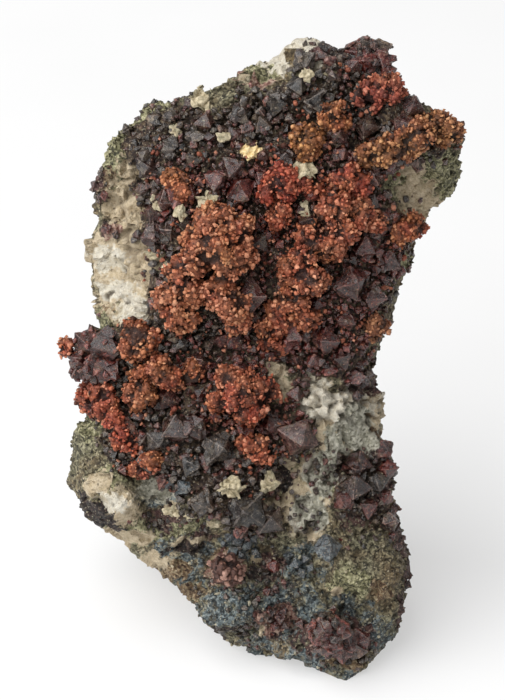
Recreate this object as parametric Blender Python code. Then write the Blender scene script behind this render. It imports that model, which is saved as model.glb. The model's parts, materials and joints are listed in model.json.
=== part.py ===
"""Cuprite specimen: a leaning slab of broken rock with a crust of cuprite octahedra and lumps of native copper.

The face is laid out as seen from in front and a little above. A layout point has u to the right, v up along the
view's own vertical and w towards the viewer, all in millimetres from the middle of the face. The solids stand on
+Z with the face towards -Y, and the base is flat at z = 0.
"""

import math
import random

import bmesh
import bpy
from mathutils import Matrix, Vector, noise
from mathutils.geometry import delaunay_2d_cdt

# Units and the layout frame
MM = 0.001
VIEW_TILT = math.radians(30.0)
EYE_DISTANCE = 600.0
FACE_CENTRE = Vector((-1.1, 1.8, 46.9))
RIGHT = Vector((1.0, 0.0, 0.0))
UP = Vector((0.0, math.sin(VIEW_TILT), math.cos(VIEW_TILT)))
OUT = Vector((0.0, -math.cos(VIEW_TILT), math.sin(VIEW_TILT)))

# The slab
ROW_STEP = 3.1
FRONT_COLUMNS = 18
BACK_COLUMNS = 10
FACE_AT_MIDDLE = 6.57
FACE_LEAN = 0.2124
BACK_AT_MIDDLE = -25.4
BACK_LEAN = 0.577
FLOOR_AT_MIDDLE = -93.8
FLOOR_LEAN = -1.732
BELOW_FLOOR = 4.0
BLOCK_SIZE = 200.0
SIDE_DEPTH = 9.0
SIDE_SHARE = 0.36
THINNEST = 3.0
ROUNDNESS = 3.0
BACK_ROUNDNESS = 3.4
CHIP_SIZE = 6.5
CHIP_TILT = 5.0
LEAN_SHIFTS = ((2.6, 7.4, 1.8), (-6.3, -2.7, 5.2), (8.1, -4.9, -3.6))
GRIT_SIZE = 3.1
GRIT_HEIGHT = 0.55
BACK_CHIP_SIZE = 10.0
BACK_CHIP_TILT = 6.0
BACK_HOLLOW = 1.6
ROUND_LUMP = 3.0
LUMP_CORNERS = 1.16
CHIPS_UNDER_CRUST = 0.3
TIP_REACH = 7.0

# Gaps and crusts
GAP = 0.36
CRUST_EDGE = 0.8
CRUST_MIDDLE = 1.5
CRUST_ROOT = 0.7
CRUST_GRID = 4.3

# Outline of the slab: (v, u)
LEFT_EDGE = [
    (48.3, 6.4), (46.5, 4.1), (45.0, 1.9), (43.4, -0.7), (41.9, -2.8), (40.4, -3.6), (39.5, -9.7), (38.5, -13.3),
    (36.0, -18.3), (34.1, -20.3), (32.5, -22.1), (30.8, -23.5), (28.5, -23.0), (26.8, -24.0), (24.8, -25.2),
    (21.7, -24.4), (18.6, -25.0), (15.5, -25.8), (12.4, -25.6), (6.0, -24.1), (0.0, -24.3), (-8.0, -24.9),
    (-12.4, -26.9), (-15.5, -27.7), (-21.7, -28.8), (-24.8, -26.1), (-28.0, -23.4), (-31.0, -18.8),
    (-32.4, -17.3), (-33.6, -16.3), (-34.1, -14.4), (-38.8, -9.2), (-42.0, -8.1), (-44.8, -5.2), (-46.5, 2.5),
    (-47.6, 6.4), (-49.2, 9.4), (-51.4, 13.7),
]
RIGHT_EDGE = [
    (48.3, 9.8), (46.5, 13.0), (45.0, 15.0), (43.5, 19.0), (41.9, 21.4), (40.3, 23.0), (38.8, 25.5), (37.2, 27.2),
    (35.7, 30.0), (34.1, 32.0), (32.6, 33.1), (31.0, 32.8), (27.9, 32.0), (24.8, 30.9), (23.3, 29.5),
    (21.7, 28.1), (18.6, 26.0), (15.5, 25.3), (12.4, 24.0), (9.0, 23.1), (5.0, 21.6), (2.0, 20.0), (0.0, 19.1),
    (-3.1, 18.5), (-5.0, 18.9), (-7.8, 19.9), (-10.9, 20.2), (-12.4, 19.7), (-14.0, 20.4), (-17.1, 22.0),
    (-19.4, 22.2), (-23.3, 21.6), (-26.4, 22.9), (-29.5, 24.1), (-38.8, 24.2), (-41.9, 23.6), (-44.2, 22.1),
    (-46.8, 20.5), (-49.9, 16.7), (-51.4, 15.0),
]

# Broad swells and hollows of the face: (u, v, half width, half height, rise)
RELIEF = [
    (0.0, 15.0, 19.0, 15.0, 2.6),
    (-22.5, 16.0, 7.0, 15.0, -5.0),
    (-24.5, 0.0, 4.0, 6.0, 1.5),
    (3.4, 12.0, 2.8, 8.0, -3.0),
    (2.2, 20.0, 2.2, 3.5, -2.0),
    (-20.0, -8.0, 3.2, 5.0, -2.8),
    (-2.0, 1.0, 7.0, 3.0, -2.2),
    (8.0, -1.0, 4.0, 3.0, -1.6),
    (13.0, -9.5, 6.0, 4.0, 3.2),
    (12.5, -17.0, 3.2, 6.0, 2.8),
    (18.0, -20.0, 3.6, 6.0, -3.0),
    (-8.0, -17.0, 9.0, 6.0, 1.5),
    (-4.0, -24.0, 9.0, 4.5, 3.2),
    (3.0, -31.0, 7.0, 3.0, -2.6),
    (-9.0, -32.5, 6.0, 3.0, -2.2),
    (16.0, -34.0, 8.5, 9.0, 2.6),
    (12.0, -41.5, 6.0, 2.0, -1.8),
    (-23.0, -22.5, 4.6, 4.0, 2.6),
    (-3.5, -40.0, 5.0, 3.5, 1.6),
    (12.5, -45.0, 4.5, 3.0, 1.6),
    (26.5, 25.0, 6.0, 5.0, -3.6),
    (27.0, 33.0, 6.0, 3.5, 1.5),
    (8.0, 41.5, 10.0, 3.0, 1.2),
    (2.0, 44.0, 4.0, 1.8, -3.0),
    (7.0, 48.6, 6.0, 2.8, -5.0),
]

# Edge of the crust on the face: (u, v)
DRUSE_EDGE = [
    (-19.6, 32.6), (-16.5, 35.4), (-12.0, 37.6), (-8.5, 39.4), (-3.0, 39.6), (2.0, 42.0), (6.5, 45.0), (11.5, 45.6),
    (15.0, 43.6), (20.5, 41.6), (23.5, 38.8), (26.6, 36.6), (29.6, 34.6), (30.8, 31.6), (24.5, 29.2),
    (21.8, 27.0), (20.6, 23.0), (22.8, 20.0), (24.6, 17.0), (22.6, 13.0), (21.6, 8.6), (19.8, 4.6), (17.8, 0.0),
    (17.4, -4.0), (14.4, -5.6), (8.0, -3.2), (6.8, -8.0), (9.6, -11.2), (9.8, -15.8), (4.8, -17.0), (3.8, -19.5),
    (4.2, -23.6), (4.8, -28.2), (0.8, -28.8), (-4.6, -27.8), (-9.0, -26.0), (-11.0, -22.0), (-15.4, -19.8),
    (-21.4, -17.4), (-22.8, -13.0), (-22.6, -7.0), (-22.0, -2.0), (-20.6, 2.4), (-16.6, 4.4), (-16.2, 9.0),
    (-16.4, 15.0), (-17.2, 21.0), (-17.8, 27.0),
]
RIM_EDGE = [
    (19.0, -12.6), (20.4, -15.0), (21.0, -19.0), (20.8, -23.0), (21.8, -27.0), (18.6, -26.4), (13.4, -24.6),
    (12.8, -21.4), (14.6, -17.0), (16.4, -14.6),
]
FOOT_EDGE = [
    (9.0, -42.4), (12.4, -41.8), (16.0, -43.4), (17.8, -45.6), (15.4, -47.8), (12.2, -48.4), (9.6, -46.2),
]

# Larger cuprite octahedra: (u, v, radius)
DRUSE_CRYSTALS = [
    (-0.9, -24.9, 3.5), (2.7, -26.4, 2.7), (7.2, -13.5, 3.5), (-11.8, -12.2, 2.9), (-8.9, -11.9, 2.7),
    (-5.2, -15.2, 3.1), (-14.6, -14.2, 2.4), (-9.4, -17.8, 2.1), (-7.6, -23.9, 2.4), (-0.3, 8.6, 3.1),
    (15.2, 10.6, 3.2), (18.7, 8.2, 2.4), (14.3, 4.8, 2.0), (11.4, 1.6, 2.5), (13.8, -1.4, 2.0), (-15.4, 17.7, 2.2),
    (-15.3, 21.3, 1.9), (-3.1, 28.2, 2.4), (-1.8, 24.9, 2.6), (-5.7, 26.2, 2.1), (-16.2, 28.6, 2.3),
    (9.6, 38.4, 2.3), (12.0, 39.2, 1.5), (6.9, 41.0, 1.9), (23.2, 34.9, 2.6), (24.6, 38.0, 2.2), (17.6, 34.8, 2.3),
    (17.6, 37.4, 1.6), (13.0, 33.3, 2.3), (18.4, 26.8, 2.0), (18.1, 22.8, 1.9), (1.2, 16.9, 1.9),
    (-8.4, -1.8, 2.2), (-11.0, 1.0, 1.8), (6.6, 2.2, 2.0), (6.6, -1.2, 1.6), (6.7, -6.9, 1.6), (-13.2, -7.4, 2.1),
    (-8.2, -6.4, 1.6), (3.0, -11.6, 2.2), (-1.4, 19.9, 1.8), (8.2, 19.6, 2.0), (17.4, 16.0, 2.2), (21.4, 13.4, 2.0),
    (-12.6, 32.0, 1.8), (-7.4, 35.4, 1.9), (-1.8, 36.6, 2.2), (3.4, 38.2, 2.1), (-9.4, 29.6, 1.9),
    (5.2, 29.6, 2.0), (1.6, 35.0, 1.9), (-13.4, 23.4, 1.9), (-12.6, 18.6, 1.8), (-2.6, 33.4, 1.6), (-5.2, -20.0, 1.6),
]
RIM_CRYSTALS = [
    (20.3, -15.4, 2.0), (20.9, -18.4, 1.9), (16.4, -17.6, 2.6), (16.0, -21.2, 2.7), (19.2, -20.6, 2.2),
    (14.2, -23.4, 2.0), (20.6, -22.8, 1.7), (18.0, -24.4, 1.9), (21.6, -26.8, 1.5),
]
FOOT_CRYSTALS = [
    (10.4, -43.6, 2.5), (13.0, -43.4, 2.6), (11.8, -45.6, 2.4), (14.6, -45.0, 2.6), (16.0, -46.4, 2.0),
    (13.8, -47.0, 2.0), (16.8, -44.8, 2.1),
]
# Bunches that stand clear of the crust: (u, v, w, radius)
LEFT_BUNCH = [
    (-25.7, 0.8, 1.8, 2.9), (-22.9, 0.6, 3.8, 3.6), (-26.6, -3.0, 1.0, 2.4), (-24.6, -2.9, 2.8, 2.7),
    (-22.4, -3.0, 3.8, 2.9), (-24.6, 2.4, 0.8, 1.9), (-26.9, -1.2, 1.4, 1.9),
]
TOP_BUNCH = [
    (17.6, 46.8, 11.6, 2.3), (20.0, 46.8, 10.8, 1.7), (15.4, 46.0, 12.6, 1.9), (17.4, 44.6, 13.6, 2.5),
    (20.0, 44.8, 12.0, 2.3), (20.7, 43.2, 12.2, 1.7), (13.2, 44.8, 15.4, 2.0), (15.2, 43.8, 15.2, 2.0),
    (12.4, 45.6, 15.0, 1.6), (10.6, 45.9, 15.8, 1.9), (8.1, 44.8, 17.0, 2.1),
]
GROUP_STEP = 1000
DRUSE_GROUP, RIM_GROUP, FOOT_GROUP, LEFT_GROUP, TOP_GROUP = range(5)
SCATTERED_SEED = 11
SCATTERED_COUNT = 900
SCATTERED_RADII = (1.9, 2.6)
SCATTERED_SPACING = 2.3
LARGE_LIFT = 0.75
SMALL_LIFT = 0.7
RIM_LIFT = 0.6

# Native copper: (u, v, radius) of each lump
COPPER = {
    "copper_dome": (1.1, [
        (-5.6, 19.4, 3.3), (-2.4, 18.4, 2.7), (-8.1, 17.6, 2.5), (-5.0, 15.7, 3.5), (-2.2, 14.6, 2.5),
        (-8.6, 14.2, 2.6), (-11.0, 11.4, 2.5), (-9.2, 9.0, 1.9), (-12.4, 8.0, 2.5), (-11.3, 5.3, 2.3),
        (-5.8, 9.0, 2.1), (-3.5, 7.4, 2.7), (-2.5, 4.7, 2.1), (-4.4, 11.8, 1.8), (-15.8, 9.9, 1.7),
        (-2.3, 1.7, 1.4),
    ]),
    "copper_band": (0.6, [
        (13.0, 22.3, 2.5), (16.2, 21.3, 2.4), (10.9, 21.0, 1.9), (18.6, 19.7, 1.8), (13.6, 19.0, 2.6),
        (9.1, 17.1, 2.0), (12.2, 16.4, 2.4), (8.4, 15.0, 2.1), (6.5, 13.2, 1.8), (9.0, 11.0, 2.6),
        (5.9, 11.2, 1.7), (6.2, 7.7, 2.3), (4.5, 5.6, 2.0), (8.5, 5.2, 1.9), (2.6, 3.7, 2.0), (3.4, 1.4, 2.1),
    ]),
    "copper_ridge": (0.4, [
        (17.8, 30.6, 2.1), (20.5, 31.0, 2.2), (23.4, 32.0, 2.2), (26.4, 33.1, 2.5), (28.3, 34.9, 2.2),
        (30.2, 34.0, 2.1), (25.4, 35.3, 1.5),
    ]),
    "copper_crest": (0.4, [
        (16.6, 39.4, 1.8), (19.0, 39.8, 2.1), (21.4, 40.6, 2.1), (23.1, 40.9, 1.7),
    ]),
    "copper_tuft_ochre": (0.2, [
        (8.5, 32.6, 2.2), (10.2, 33.9, 1.5), (7.7, 31.0, 1.6),
    ]),
    "copper_tuft_high": (0.2, [
        (12.4, 36.4, 2.2), (13.9, 35.5, 1.6),
    ]),
    "copper_reds": (0.3, [
        (4.3, 26.6, 2.4), (2.8, 25.0, 1.9), (6.3, 25.3, 1.9), (8.8, 25.2, 1.6),
    ]),
    "copper_reds_right": (0.3, [
        (14.9, 26.7, 2.1), (16.5, 25.2, 1.8), (13.3, 26.0, 1.6),
    ]),
    "copper_heart": (1.0, [
        (4.3, 21.2, 1.9), (4.1, 19.9, 1.3),
    ]),
    "copper_bunch_left": (0.8, [
        (-18.3, 2.6, 1.8), (-16.9, 1.2, 2.1), (-18.3, 0.2, 1.9), (-17.0, -0.6, 1.5),
    ]),
    "copper_bunch_low_left": (0.9, [
        (-14.4, -3.1, 2.1), (-17.1, -4.0, 1.9), (-17.0, -6.4, 2.4), (-17.4, -8.2, 1.6), (-11.6, -4.9, 1.5),
        (-9.3, -3.6, 1.8), (-12.9, -4.0, 1.6),
    ]),
    "copper_triangle": (1.1, [
        (-3.2, -5.0, 2.2), (-0.9, -6.4, 2.6), (2.3, -6.0, 2.1), (-4.7, -7.6, 1.8), (-2.2, -8.6, 2.3),
        (0.6, -8.6, 1.9), (-1.6, -10.2, 1.5),
    ]),
    "copper_finger": (0.9, [
        (-23.0, -6.6, 1.9), (-22.5, -8.9, 1.8), (-21.3, -11.0, 1.7), (-20.4, -13.1, 1.6), (-18.9, -15.0, 1.6),
    ]),
    "copper_knot_left": (0.2, [
        (-25.6, -7.2, 1.9), (-24.9, -9.0, 1.3),
    ]),
    "copper_tuft_low": (0.5, [
        (0.2, -15.0, 1.9), (1.5, -16.0, 1.5), (-1.4, -14.6, 1.2),
    ]),
    "copper_tuft_left_low": (0.4, [
        (-15.6, -17.5, 1.6), (-17.2, -18.4, 1.4),
    ]),
    "copper_tuft_foot": (0.4, [
        (-4.5, -33.5, 1.9), (-3.2, -34.2, 1.4),
    ]),
    "copper_edge_right": (0.2, [
        (19.2, 4.4, 1.8), (18.6, 2.5, 1.4), (20.4, 3.3, 1.2),
    ]),
    "copper_shoulder": (0.2, [
        (24.9, 19.2, 1.7), (26.2, 18.0, 1.2), (23.0, 18.2, 1.6),
    ]),
    "copper_tuft_upper_left": (0.3, [
        (-12.0, 26.4, 1.8), (-10.7, 24.9, 1.6),
    ]),
}
LEFT_KNOB = [(-28.3, 0.5, 1.2, 1.3), (-29.4, 0.2, 0.9, 1.0)]

# Thin pale flakes: (u, v, half width, half height, points of the ragged edge, turn in degrees)
FLAKES = {
    "calcite_flake_star": (-0.5, 30.9, 2.1, 1.4, 7, 10.0),
    "calcite_flake_upper": (8.4, 27.9, 1.4, 1.6, 6, 35.0),
    "calcite_flake_left": (-6.9, 23.6, 1.5, 1.1, 5, 20.0),
    "calcite_flake_high": (-8.4, 39.0, 0.9, 2.0, 5, 15.0),
    "calcite_flake_low_left": (-3.3, -21.3, 2.0, 1.8, 9, 0.0),
    "calcite_flake_low_right": (2.3, -20.8, 1.7, 1.7, 8, 50.0),
}
FLAKE_THICKNESS = 0.8
FLAKE_LIFT = 2.6

SMALLEST_SLIVER = 2e-4
FLAT_ANGLE = math.radians(0.6)


def place(u, v, w):
    """World position in millimetres of a layout point, so that it is seen at (u, v) from the eye."""
    shrink = (EYE_DISTANCE - w) / EYE_DISTANCE
    return FACE_CENTRE + RIGHT * (u * shrink) + UP * (v * shrink) + OUT * w


def edge_at(edge, v):
    """Half outline's u at height v, between its listed points."""
    if v >= edge[0][0]:
        return edge[0][1]
    for (v_high, u_high), (v_low, u_low) in zip(edge, edge[1:]):
        if v >= v_low:
            share = (v - v_low) / (v_high - v_low)
            return u_low + (u_high - u_low) * share
    return edge[-1][1]


def lean_at(point):
    """Lean of a chip, each part of it between -1 and 1."""
    return Vector([noise.noise(point + Vector(shift)) for shift in LEAN_SHIFTS])


def chipped(x, y, z, size, tilt):
    """Height of flat chips that meet in low steps, as on broken rock."""
    spot = Vector((x, y, z)) / size
    nearest = noise.voronoi(spot)[1][0]
    lean = lean_at(nearest * 3.7)
    step = noise.noise(nearest * 5.3)
    return tilt * (lean.dot(spot - nearest) + 0.45 * step)


def relief(u, v):
    """Swells, hollows, chips and grit of the face, before they fade out at its edges."""
    height = 0.0
    for mid_u, mid_v, half_u, half_v, rise in RELIEF:
        away = ((u - mid_u) / half_u) ** 2 + ((v - mid_v) / half_v) ** 2
        height += rise * math.exp(-away)
    rough = chipped(u, v, 0.0, CHIP_SIZE, CHIP_TILT)
    rough += GRIT_HEIGHT * noise.noise(Vector((u, v, 9.0)) / GRIT_SIZE)
    if inside(DRUSE_EDGE, u, v):
        covered = min(1.0, distance_to(DRUSE_EDGE, u, v) / 2.0)
        rough *= 1.0 - (1.0 - CHIPS_UNDER_CRUST) * covered
    tip_fade = min(1.0, max(0.0, (v - LEFT_EDGE[-1][0]) / TIP_REACH))
    return (height + rough) * tip_fade


def face_plane(v):
    return FACE_AT_MIDDLE + FACE_LEAN * v


def back_plane(v):
    back = max(BACK_AT_MIDDLE + BACK_LEAN * v, FLOOR_AT_MIDDLE + FLOOR_LEAN * v - BELOW_FLOOR)
    return min(back, face_plane(v) - THINNEST)


def side_depth(v):
    """Depth at which the slab is widest."""
    return face_plane(v) - min(SIDE_DEPTH, SIDE_SHARE * (face_plane(v) - back_plane(v)))


def face_at(u, v):
    """Depth of the rock's face at (u, v)."""
    left = edge_at(LEFT_EDGE, v)
    right = edge_at(RIGHT_EDGE, v)
    across = (2.0 * u - left - right) / (right - left)
    across = min(1.0, max(-1.0, across))
    fullness = (1.0 - abs(across) ** ROUNDNESS) ** (1.0 / ROUNDNESS)
    side = side_depth(v)
    fade = min(1.0, 1.6 * fullness)
    return side + (face_plane(v) - side) * fullness + relief(u, v) * fade


def back_at(u, v):
    left = edge_at(LEFT_EDGE, v)
    right = edge_at(RIGHT_EDGE, v)
    across = (2.0 * u - left - right) / (right - left)
    across = min(1.0, max(-1.0, across))
    fullness = (1.0 - abs(across) ** BACK_ROUNDNESS) ** (1.0 / BACK_ROUNDNESS)
    side = side_depth(v)
    rough = chipped(u, v, 50.0, BACK_CHIP_SIZE, BACK_CHIP_TILT) - BACK_HOLLOW
    return side + (back_plane(v) - side) * fullness - min(rough, 0.4) * fullness


def spread(count):
    """Positions from -1 to 1, closer together near both ends."""
    return [math.sin(0.5 * math.pi * (2.0 * i / (count - 1) - 1.0)) for i in range(count)]


def slab_section(v):
    """Closed ring of the slab at one height of the view: along the face, then back behind it."""
    left = edge_at(LEFT_EDGE, v)
    right = edge_at(RIGHT_EDGE, v)
    middle = 0.5 * (left + right)
    half = 0.5 * (right - left)
    ring = []
    for across in spread(FRONT_COLUMNS):
        u = middle + half * across
        ring.append(place(u, v, face_at(u, v)))
    for across in reversed(spread(BACK_COLUMNS + 2)[1:-1]):
        u = middle + half * across
        ring.append(place(u, v, back_at(u, v)))
    return ring


def slab_heights():
    top = LEFT_EDGE[0][0]
    bottom = LEFT_EDGE[-1][0]
    count = round((top - bottom) / ROW_STEP)
    return [top + (bottom - top) * i / count for i in range(count + 1)]


def floor_block():
    """Block below the floor, which cuts the slab's base flat."""
    body = bmesh.new()
    spot = Matrix.Translation((0.0, 0.0, -0.5 * BLOCK_SIZE))
    bmesh.ops.create_cube(body, size=BLOCK_SIZE, matrix=spot)
    return finished(outward(body))


def slab_mesh():
    body = bmesh.new()
    rings = []
    for v in slab_heights():
        rings.append([body.verts.new(point) for point in slab_section(v)])
    for upper, lower in zip(rings, rings[1:]):
        for i in range(len(upper)):
            j = (i + 1) % len(upper)
            body.faces.new((upper[i], lower[i], lower[j], upper[j]))
    body.faces.new(list(reversed(rings[-1])))
    body.faces.new(rings[0])
    bmesh.ops.triangulate(body, faces=body.faces[:], quad_method="SHORT_EDGE")
    return combined(finished(outward(body)), [("DIFFERENCE", floor_block())], merge_flat=False)


def outward(body):
    """Turn all faces of closed bodies to face outward."""
    bmesh.ops.recalc_face_normals(body, faces=body.faces[:])
    if body.calc_volume(signed=True) < 0.0:
        bmesh.ops.reverse_faces(body, faces=body.faces[:])
    return body


def finished(body):
    mesh = bpy.data.meshes.new("solid")
    body.to_mesh(mesh)
    body.free()
    return mesh


def swollen(mesh, amount):
    """Copy of a closed mesh with each corner moved outward."""
    body = bmesh.new()
    body.from_mesh(mesh)
    body.normal_update()
    moves = [vert.normal * amount for vert in body.verts]
    for vert, move in zip(body.verts, moves):
        vert.co += move
    return finished(body)


def inside(edge, u, v):
    """Whether (u, v) lies inside a closed outline."""
    odd = False
    for (u_a, v_a), (u_b, v_b) in zip(edge, edge[1:] + edge[:1]):
        if (v_a > v) != (v_b > v) and u < (u_b - u_a) * (v - v_a) / (v_b - v_a) + u_a:
            odd = not odd
    return odd


def distance_to(edge, u, v):
    """Distance from (u, v) to the nearest side of a closed outline."""
    best = 1e9
    for (u_a, v_a), (u_b, v_b) in zip(edge, edge[1:] + edge[:1]):
        run = (u_b - u_a, v_b - v_a)
        share = ((u - u_a) * run[0] + (v - v_a) * run[1]) / (run[0] ** 2 + run[1] ** 2)
        share = min(1.0, max(0.0, share))
        best = min(best, math.hypot(u - u_a - share * run[0], v - v_a - share * run[1]))
    return best


def widened(edge, amount):
    """Closed clockwise outline moved outward by an amount."""
    turned = []
    count = len(edge)
    for i in range(count):
        before = Vector(edge[i - 1])
        here = Vector(edge[i])
        after = Vector(edge[(i + 1) % count])
        along = (after - before).normalized()
        turned.append((here.x - along.y * amount, here.y + along.x * amount))
    return turned


def crust_height(edge, u, v):
    rise = min(1.0, distance_to(edge, u, v) / 3.0)
    return CRUST_EDGE + (CRUST_MIDDLE - CRUST_EDGE) * rise


def crust_grid(edge):
    """Outline corners of a crust, then the points of a loose grid inside it."""
    points = [Vector(point) for point in edge]
    low_u = min(point[0] for point in edge)
    low_v = min(point[1] for point in edge)
    columns = int((max(point[0] for point in edge) - low_u) / CRUST_GRID) + 1
    rows = int((max(point[1] for point in edge) - low_v) / CRUST_GRID) + 1
    for row in range(rows):
        for column in range(columns):
            u = low_u + CRUST_GRID * (column + 0.5 * (row % 2))
            v = low_v + CRUST_GRID * row
            if inside(edge, u, v) and distance_to(edge, u, v) > 0.5 * CRUST_GRID:
                points.append(Vector((u, v)))
    return points


def crust_mesh(edge, grow):
    """Sheet over the face within an outline, from just inside the rock to the crust's own top."""
    points = crust_grid(edge)
    links = [(i, (i + 1) % len(edge)) for i in range(len(edge))]
    flat = delaunay_2d_cdt(points, links, [], 1, 1e-5)
    outline = widened(edge, grow)
    body = bmesh.new()
    tops = []
    roots = []
    for (u, v), sources in zip(flat[0], flat[3]):
        high = low = face_at(u, v)
        rise = crust_height(edge, u, v)
        if sources and sources[0] < len(edge):
            u, v = outline[sources[0]]
            high = max(high, face_at(u, v))
            low = min(low, face_at(u, v))
        tops.append(body.verts.new(place(u, v, high + rise + grow)))
        roots.append(body.verts.new(place(u, v, low - CRUST_ROOT - grow)))
    for a, b, c in flat[2]:
        body.faces.new((tops[a], tops[b], tops[c]))
        body.faces.new((roots[c], roots[b], roots[a]))
    partner = dict(zip(tops, roots))
    rim = [link for link in body.edges if len(link.link_faces) == 1 and link.verts[0] in partner]
    for link in rim:
        a, b = link.verts
        body.faces.new((a, b, partner[b], partner[a]))
    return finished(outward(body))


def random_turn(dice):
    """Even random rotation."""
    a, b, c = (dice.random() for _ in range(3))
    turn = Matrix.Rotation(2.0 * math.pi * a, 4, "Z")
    turn = Matrix.Rotation(math.acos(2.0 * b - 1.0), 4, "Y") @ turn
    return Matrix.Rotation(2.0 * math.pi * c, 4, "Z") @ turn


def add_octahedron(body, centre, radius, turn):
    """Octahedron with its six corners at the given distance."""
    corners = []
    for axis in range(3):
        for sign in (1.0, -1.0):
            corner = Vector((0.0, 0.0, 0.0))
            corner[axis] = sign * radius
            corners.append(body.verts.new(centre + turn @ corner))
    for x in (0, 1):
        for y in (2, 3):
            for z in (4, 5):
                order = (corners[x], corners[y], corners[z])
                body.faces.new(order if (x + y + z) % 2 == 0 else order[::-1])


def add_lump(body, centre, radius, turn, rounded):
    """Rough ball, with more faces when it is a large one."""
    detail = 2 if rounded else 1
    reach = radius if rounded else LUMP_CORNERS * radius
    spot = Matrix.Translation(centre) @ turn
    bmesh.ops.create_icosphere(body, subdivisions=detail, radius=reach, matrix=spot)


def octahedra_mesh(crystals, group):
    """Crystals at (centre, radius), each turned its own way."""
    body = bmesh.new()
    for index, (centre, radius) in enumerate(crystals):
        dice = random.Random(GROUP_STEP * group + index)
        add_octahedron(body, centre, radius, random_turn(dice))
    return finished(outward(body))


def lumps_mesh(lumps, seed, grow):
    dice = random.Random(seed)
    body = bmesh.new()
    for centre, radius in lumps:
        add_lump(body, centre, radius + 1.2 * grow, random_turn(dice), radius >= ROUND_LUMP)
    return finished(outward(body))


def piece_around(start):
    """Faces joined to one face across edges that two faces share."""
    stack = [start]
    piece = {start}
    while stack:
        for link in stack.pop().edges:
            if len(link.link_faces) == 2:
                for face in link.link_faces:
                    if face not in piece:
                        piece.add(face)
                        stack.append(face)
    return piece


def volume_of(faces):
    return sum(face.verts[0].co.dot(face.verts[1].co.cross(face.verts[2].co)) / 6.0 for face in faces)


def largest_piece(mesh, merge_flat):
    """The largest connected piece of a mesh, without slivers."""
    body = bmesh.new()
    body.from_mesh(mesh)
    bmesh.ops.dissolve_degenerate(body, dist=SMALLEST_SLIVER, edges=body.edges[:])
    if merge_flat:
        bmesh.ops.dissolve_limit(body, angle_limit=FLAT_ANGLE, verts=body.verts[:], edges=body.edges[:])
    bmesh.ops.triangulate(body, faces=body.faces[:])
    body.faces.ensure_lookup_table()
    pieces = []
    seen = set()
    for face in body.faces:
        if face not in seen:
            pieces.append(piece_around(face))
            seen |= pieces[-1]
    best = max(pieces, key=volume_of)
    extra = [face for face in body.faces if face not in best]
    bmesh.ops.delete(body, geom=extra, context="FACES")
    return finished(body)


def reach_of(mesh):
    """Lowest and highest corner of a mesh's box."""
    spots = [vert.co for vert in mesh.vertices]
    low = [min(spot[axis] for spot in spots) for axis in range(3)]
    high = [max(spot[axis] for spot in spots) for axis in range(3)]
    return low, high


def cuts(mesh, covers):
    """Differences with those covers whose boxes meet the mesh's own."""
    low, high = reach_of(mesh)
    steps = []
    for cover in covers:
        cover_low, cover_high = reach_of(cover)
        if all(cover_low[i] < high[i] and low[i] < cover_high[i] for i in range(3)):
            steps.append(("DIFFERENCE", cover.copy()))
    return steps


def without(mesh, covers):
    """Largest piece of a mesh outside the covers."""
    return combined(mesh, cuts(mesh, covers))


def combined_all(mesh, steps):
    """Result of unions and differences with other closed meshes, taken in turn."""
    base = bpy.data.objects.new("base", mesh)
    bpy.context.collection.objects.link(base)
    tools = []
    for operation, other in steps:
        tool = bpy.data.objects.new("tool", other)
        tool.hide_render = True
        tool.display_type = "WIRE"
        bpy.context.collection.objects.link(tool)
        cut = base.modifiers.new(operation.lower(), "BOOLEAN")
        cut.operation = operation
        cut.solver = "EXACT"
        cut.use_self = True
        cut.object = tool
        tools.append(tool)
    graph = bpy.context.evaluated_depsgraph_get()
    result = bpy.data.meshes.new_from_object(base.evaluated_get(graph))
    for item in [base] + tools:
        bpy.data.objects.remove(item, do_unlink=True)
    return result


def combined(mesh, steps, merge_flat=True):
    """Largest piece of what unions and differences leave."""
    return largest_piece(combined_all(mesh, steps), merge_flat)


def on_face(crystals, lift):
    """Centres on the rock's face, with each raised by a share of its radius."""
    placed = []
    for u, v, radius in crystals:
        placed.append((place(u, v, face_at(u, v) + lift * radius), radius))
    return placed


def in_space(crystals):
    return [(place(u, v, w), radius) for u, v, w, radius in crystals]


def copper_lumps(rise, lumps):
    """Lump centres of one copper mass, highest in its middle."""
    mid_u = sum(lump[0] for lump in lumps) / len(lumps)
    mid_v = sum(lump[1] for lump in lumps) / len(lumps)
    reach = max(math.hypot(u - mid_u, v - mid_v) for u, v, _ in lumps) + 0.5
    placed = []
    for u, v, radius in lumps:
        share = 1.0 - (math.hypot(u - mid_u, v - mid_v) / reach) ** 2
        height = 0.9 + 0.35 * radius + 2.0 * rise * share
        placed.append((place(u, v, face_at(u, v) + height), radius))
    return placed


def scattered_crystals(edge, taken):
    """Small crystals between the larger ones, none of them on copper or on a flake."""
    dice = random.Random(SCATTERED_SEED)
    low_u, high_u = min(p[0] for p in edge), max(p[0] for p in edge)
    low_v, high_v = min(p[1] for p in edge), max(p[1] for p in edge)
    found = []
    for _ in range(SCATTERED_COUNT):
        u = dice.uniform(low_u, high_u)
        v = dice.uniform(low_v, high_v)
        radius = dice.uniform(*SCATTERED_RADII)
        if not inside(edge, u, v) or distance_to(edge, u, v) < 0.4:
            continue
        near = any(math.hypot(u - x, v - y) < 0.62 * (other + radius) for x, y, other in taken)
        close = any(math.hypot(u - x, v - y) < SCATTERED_SPACING * radius for x, y, _ in found)
        if not near and not close:
            found.append((u, v, radius))
    return found


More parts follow.
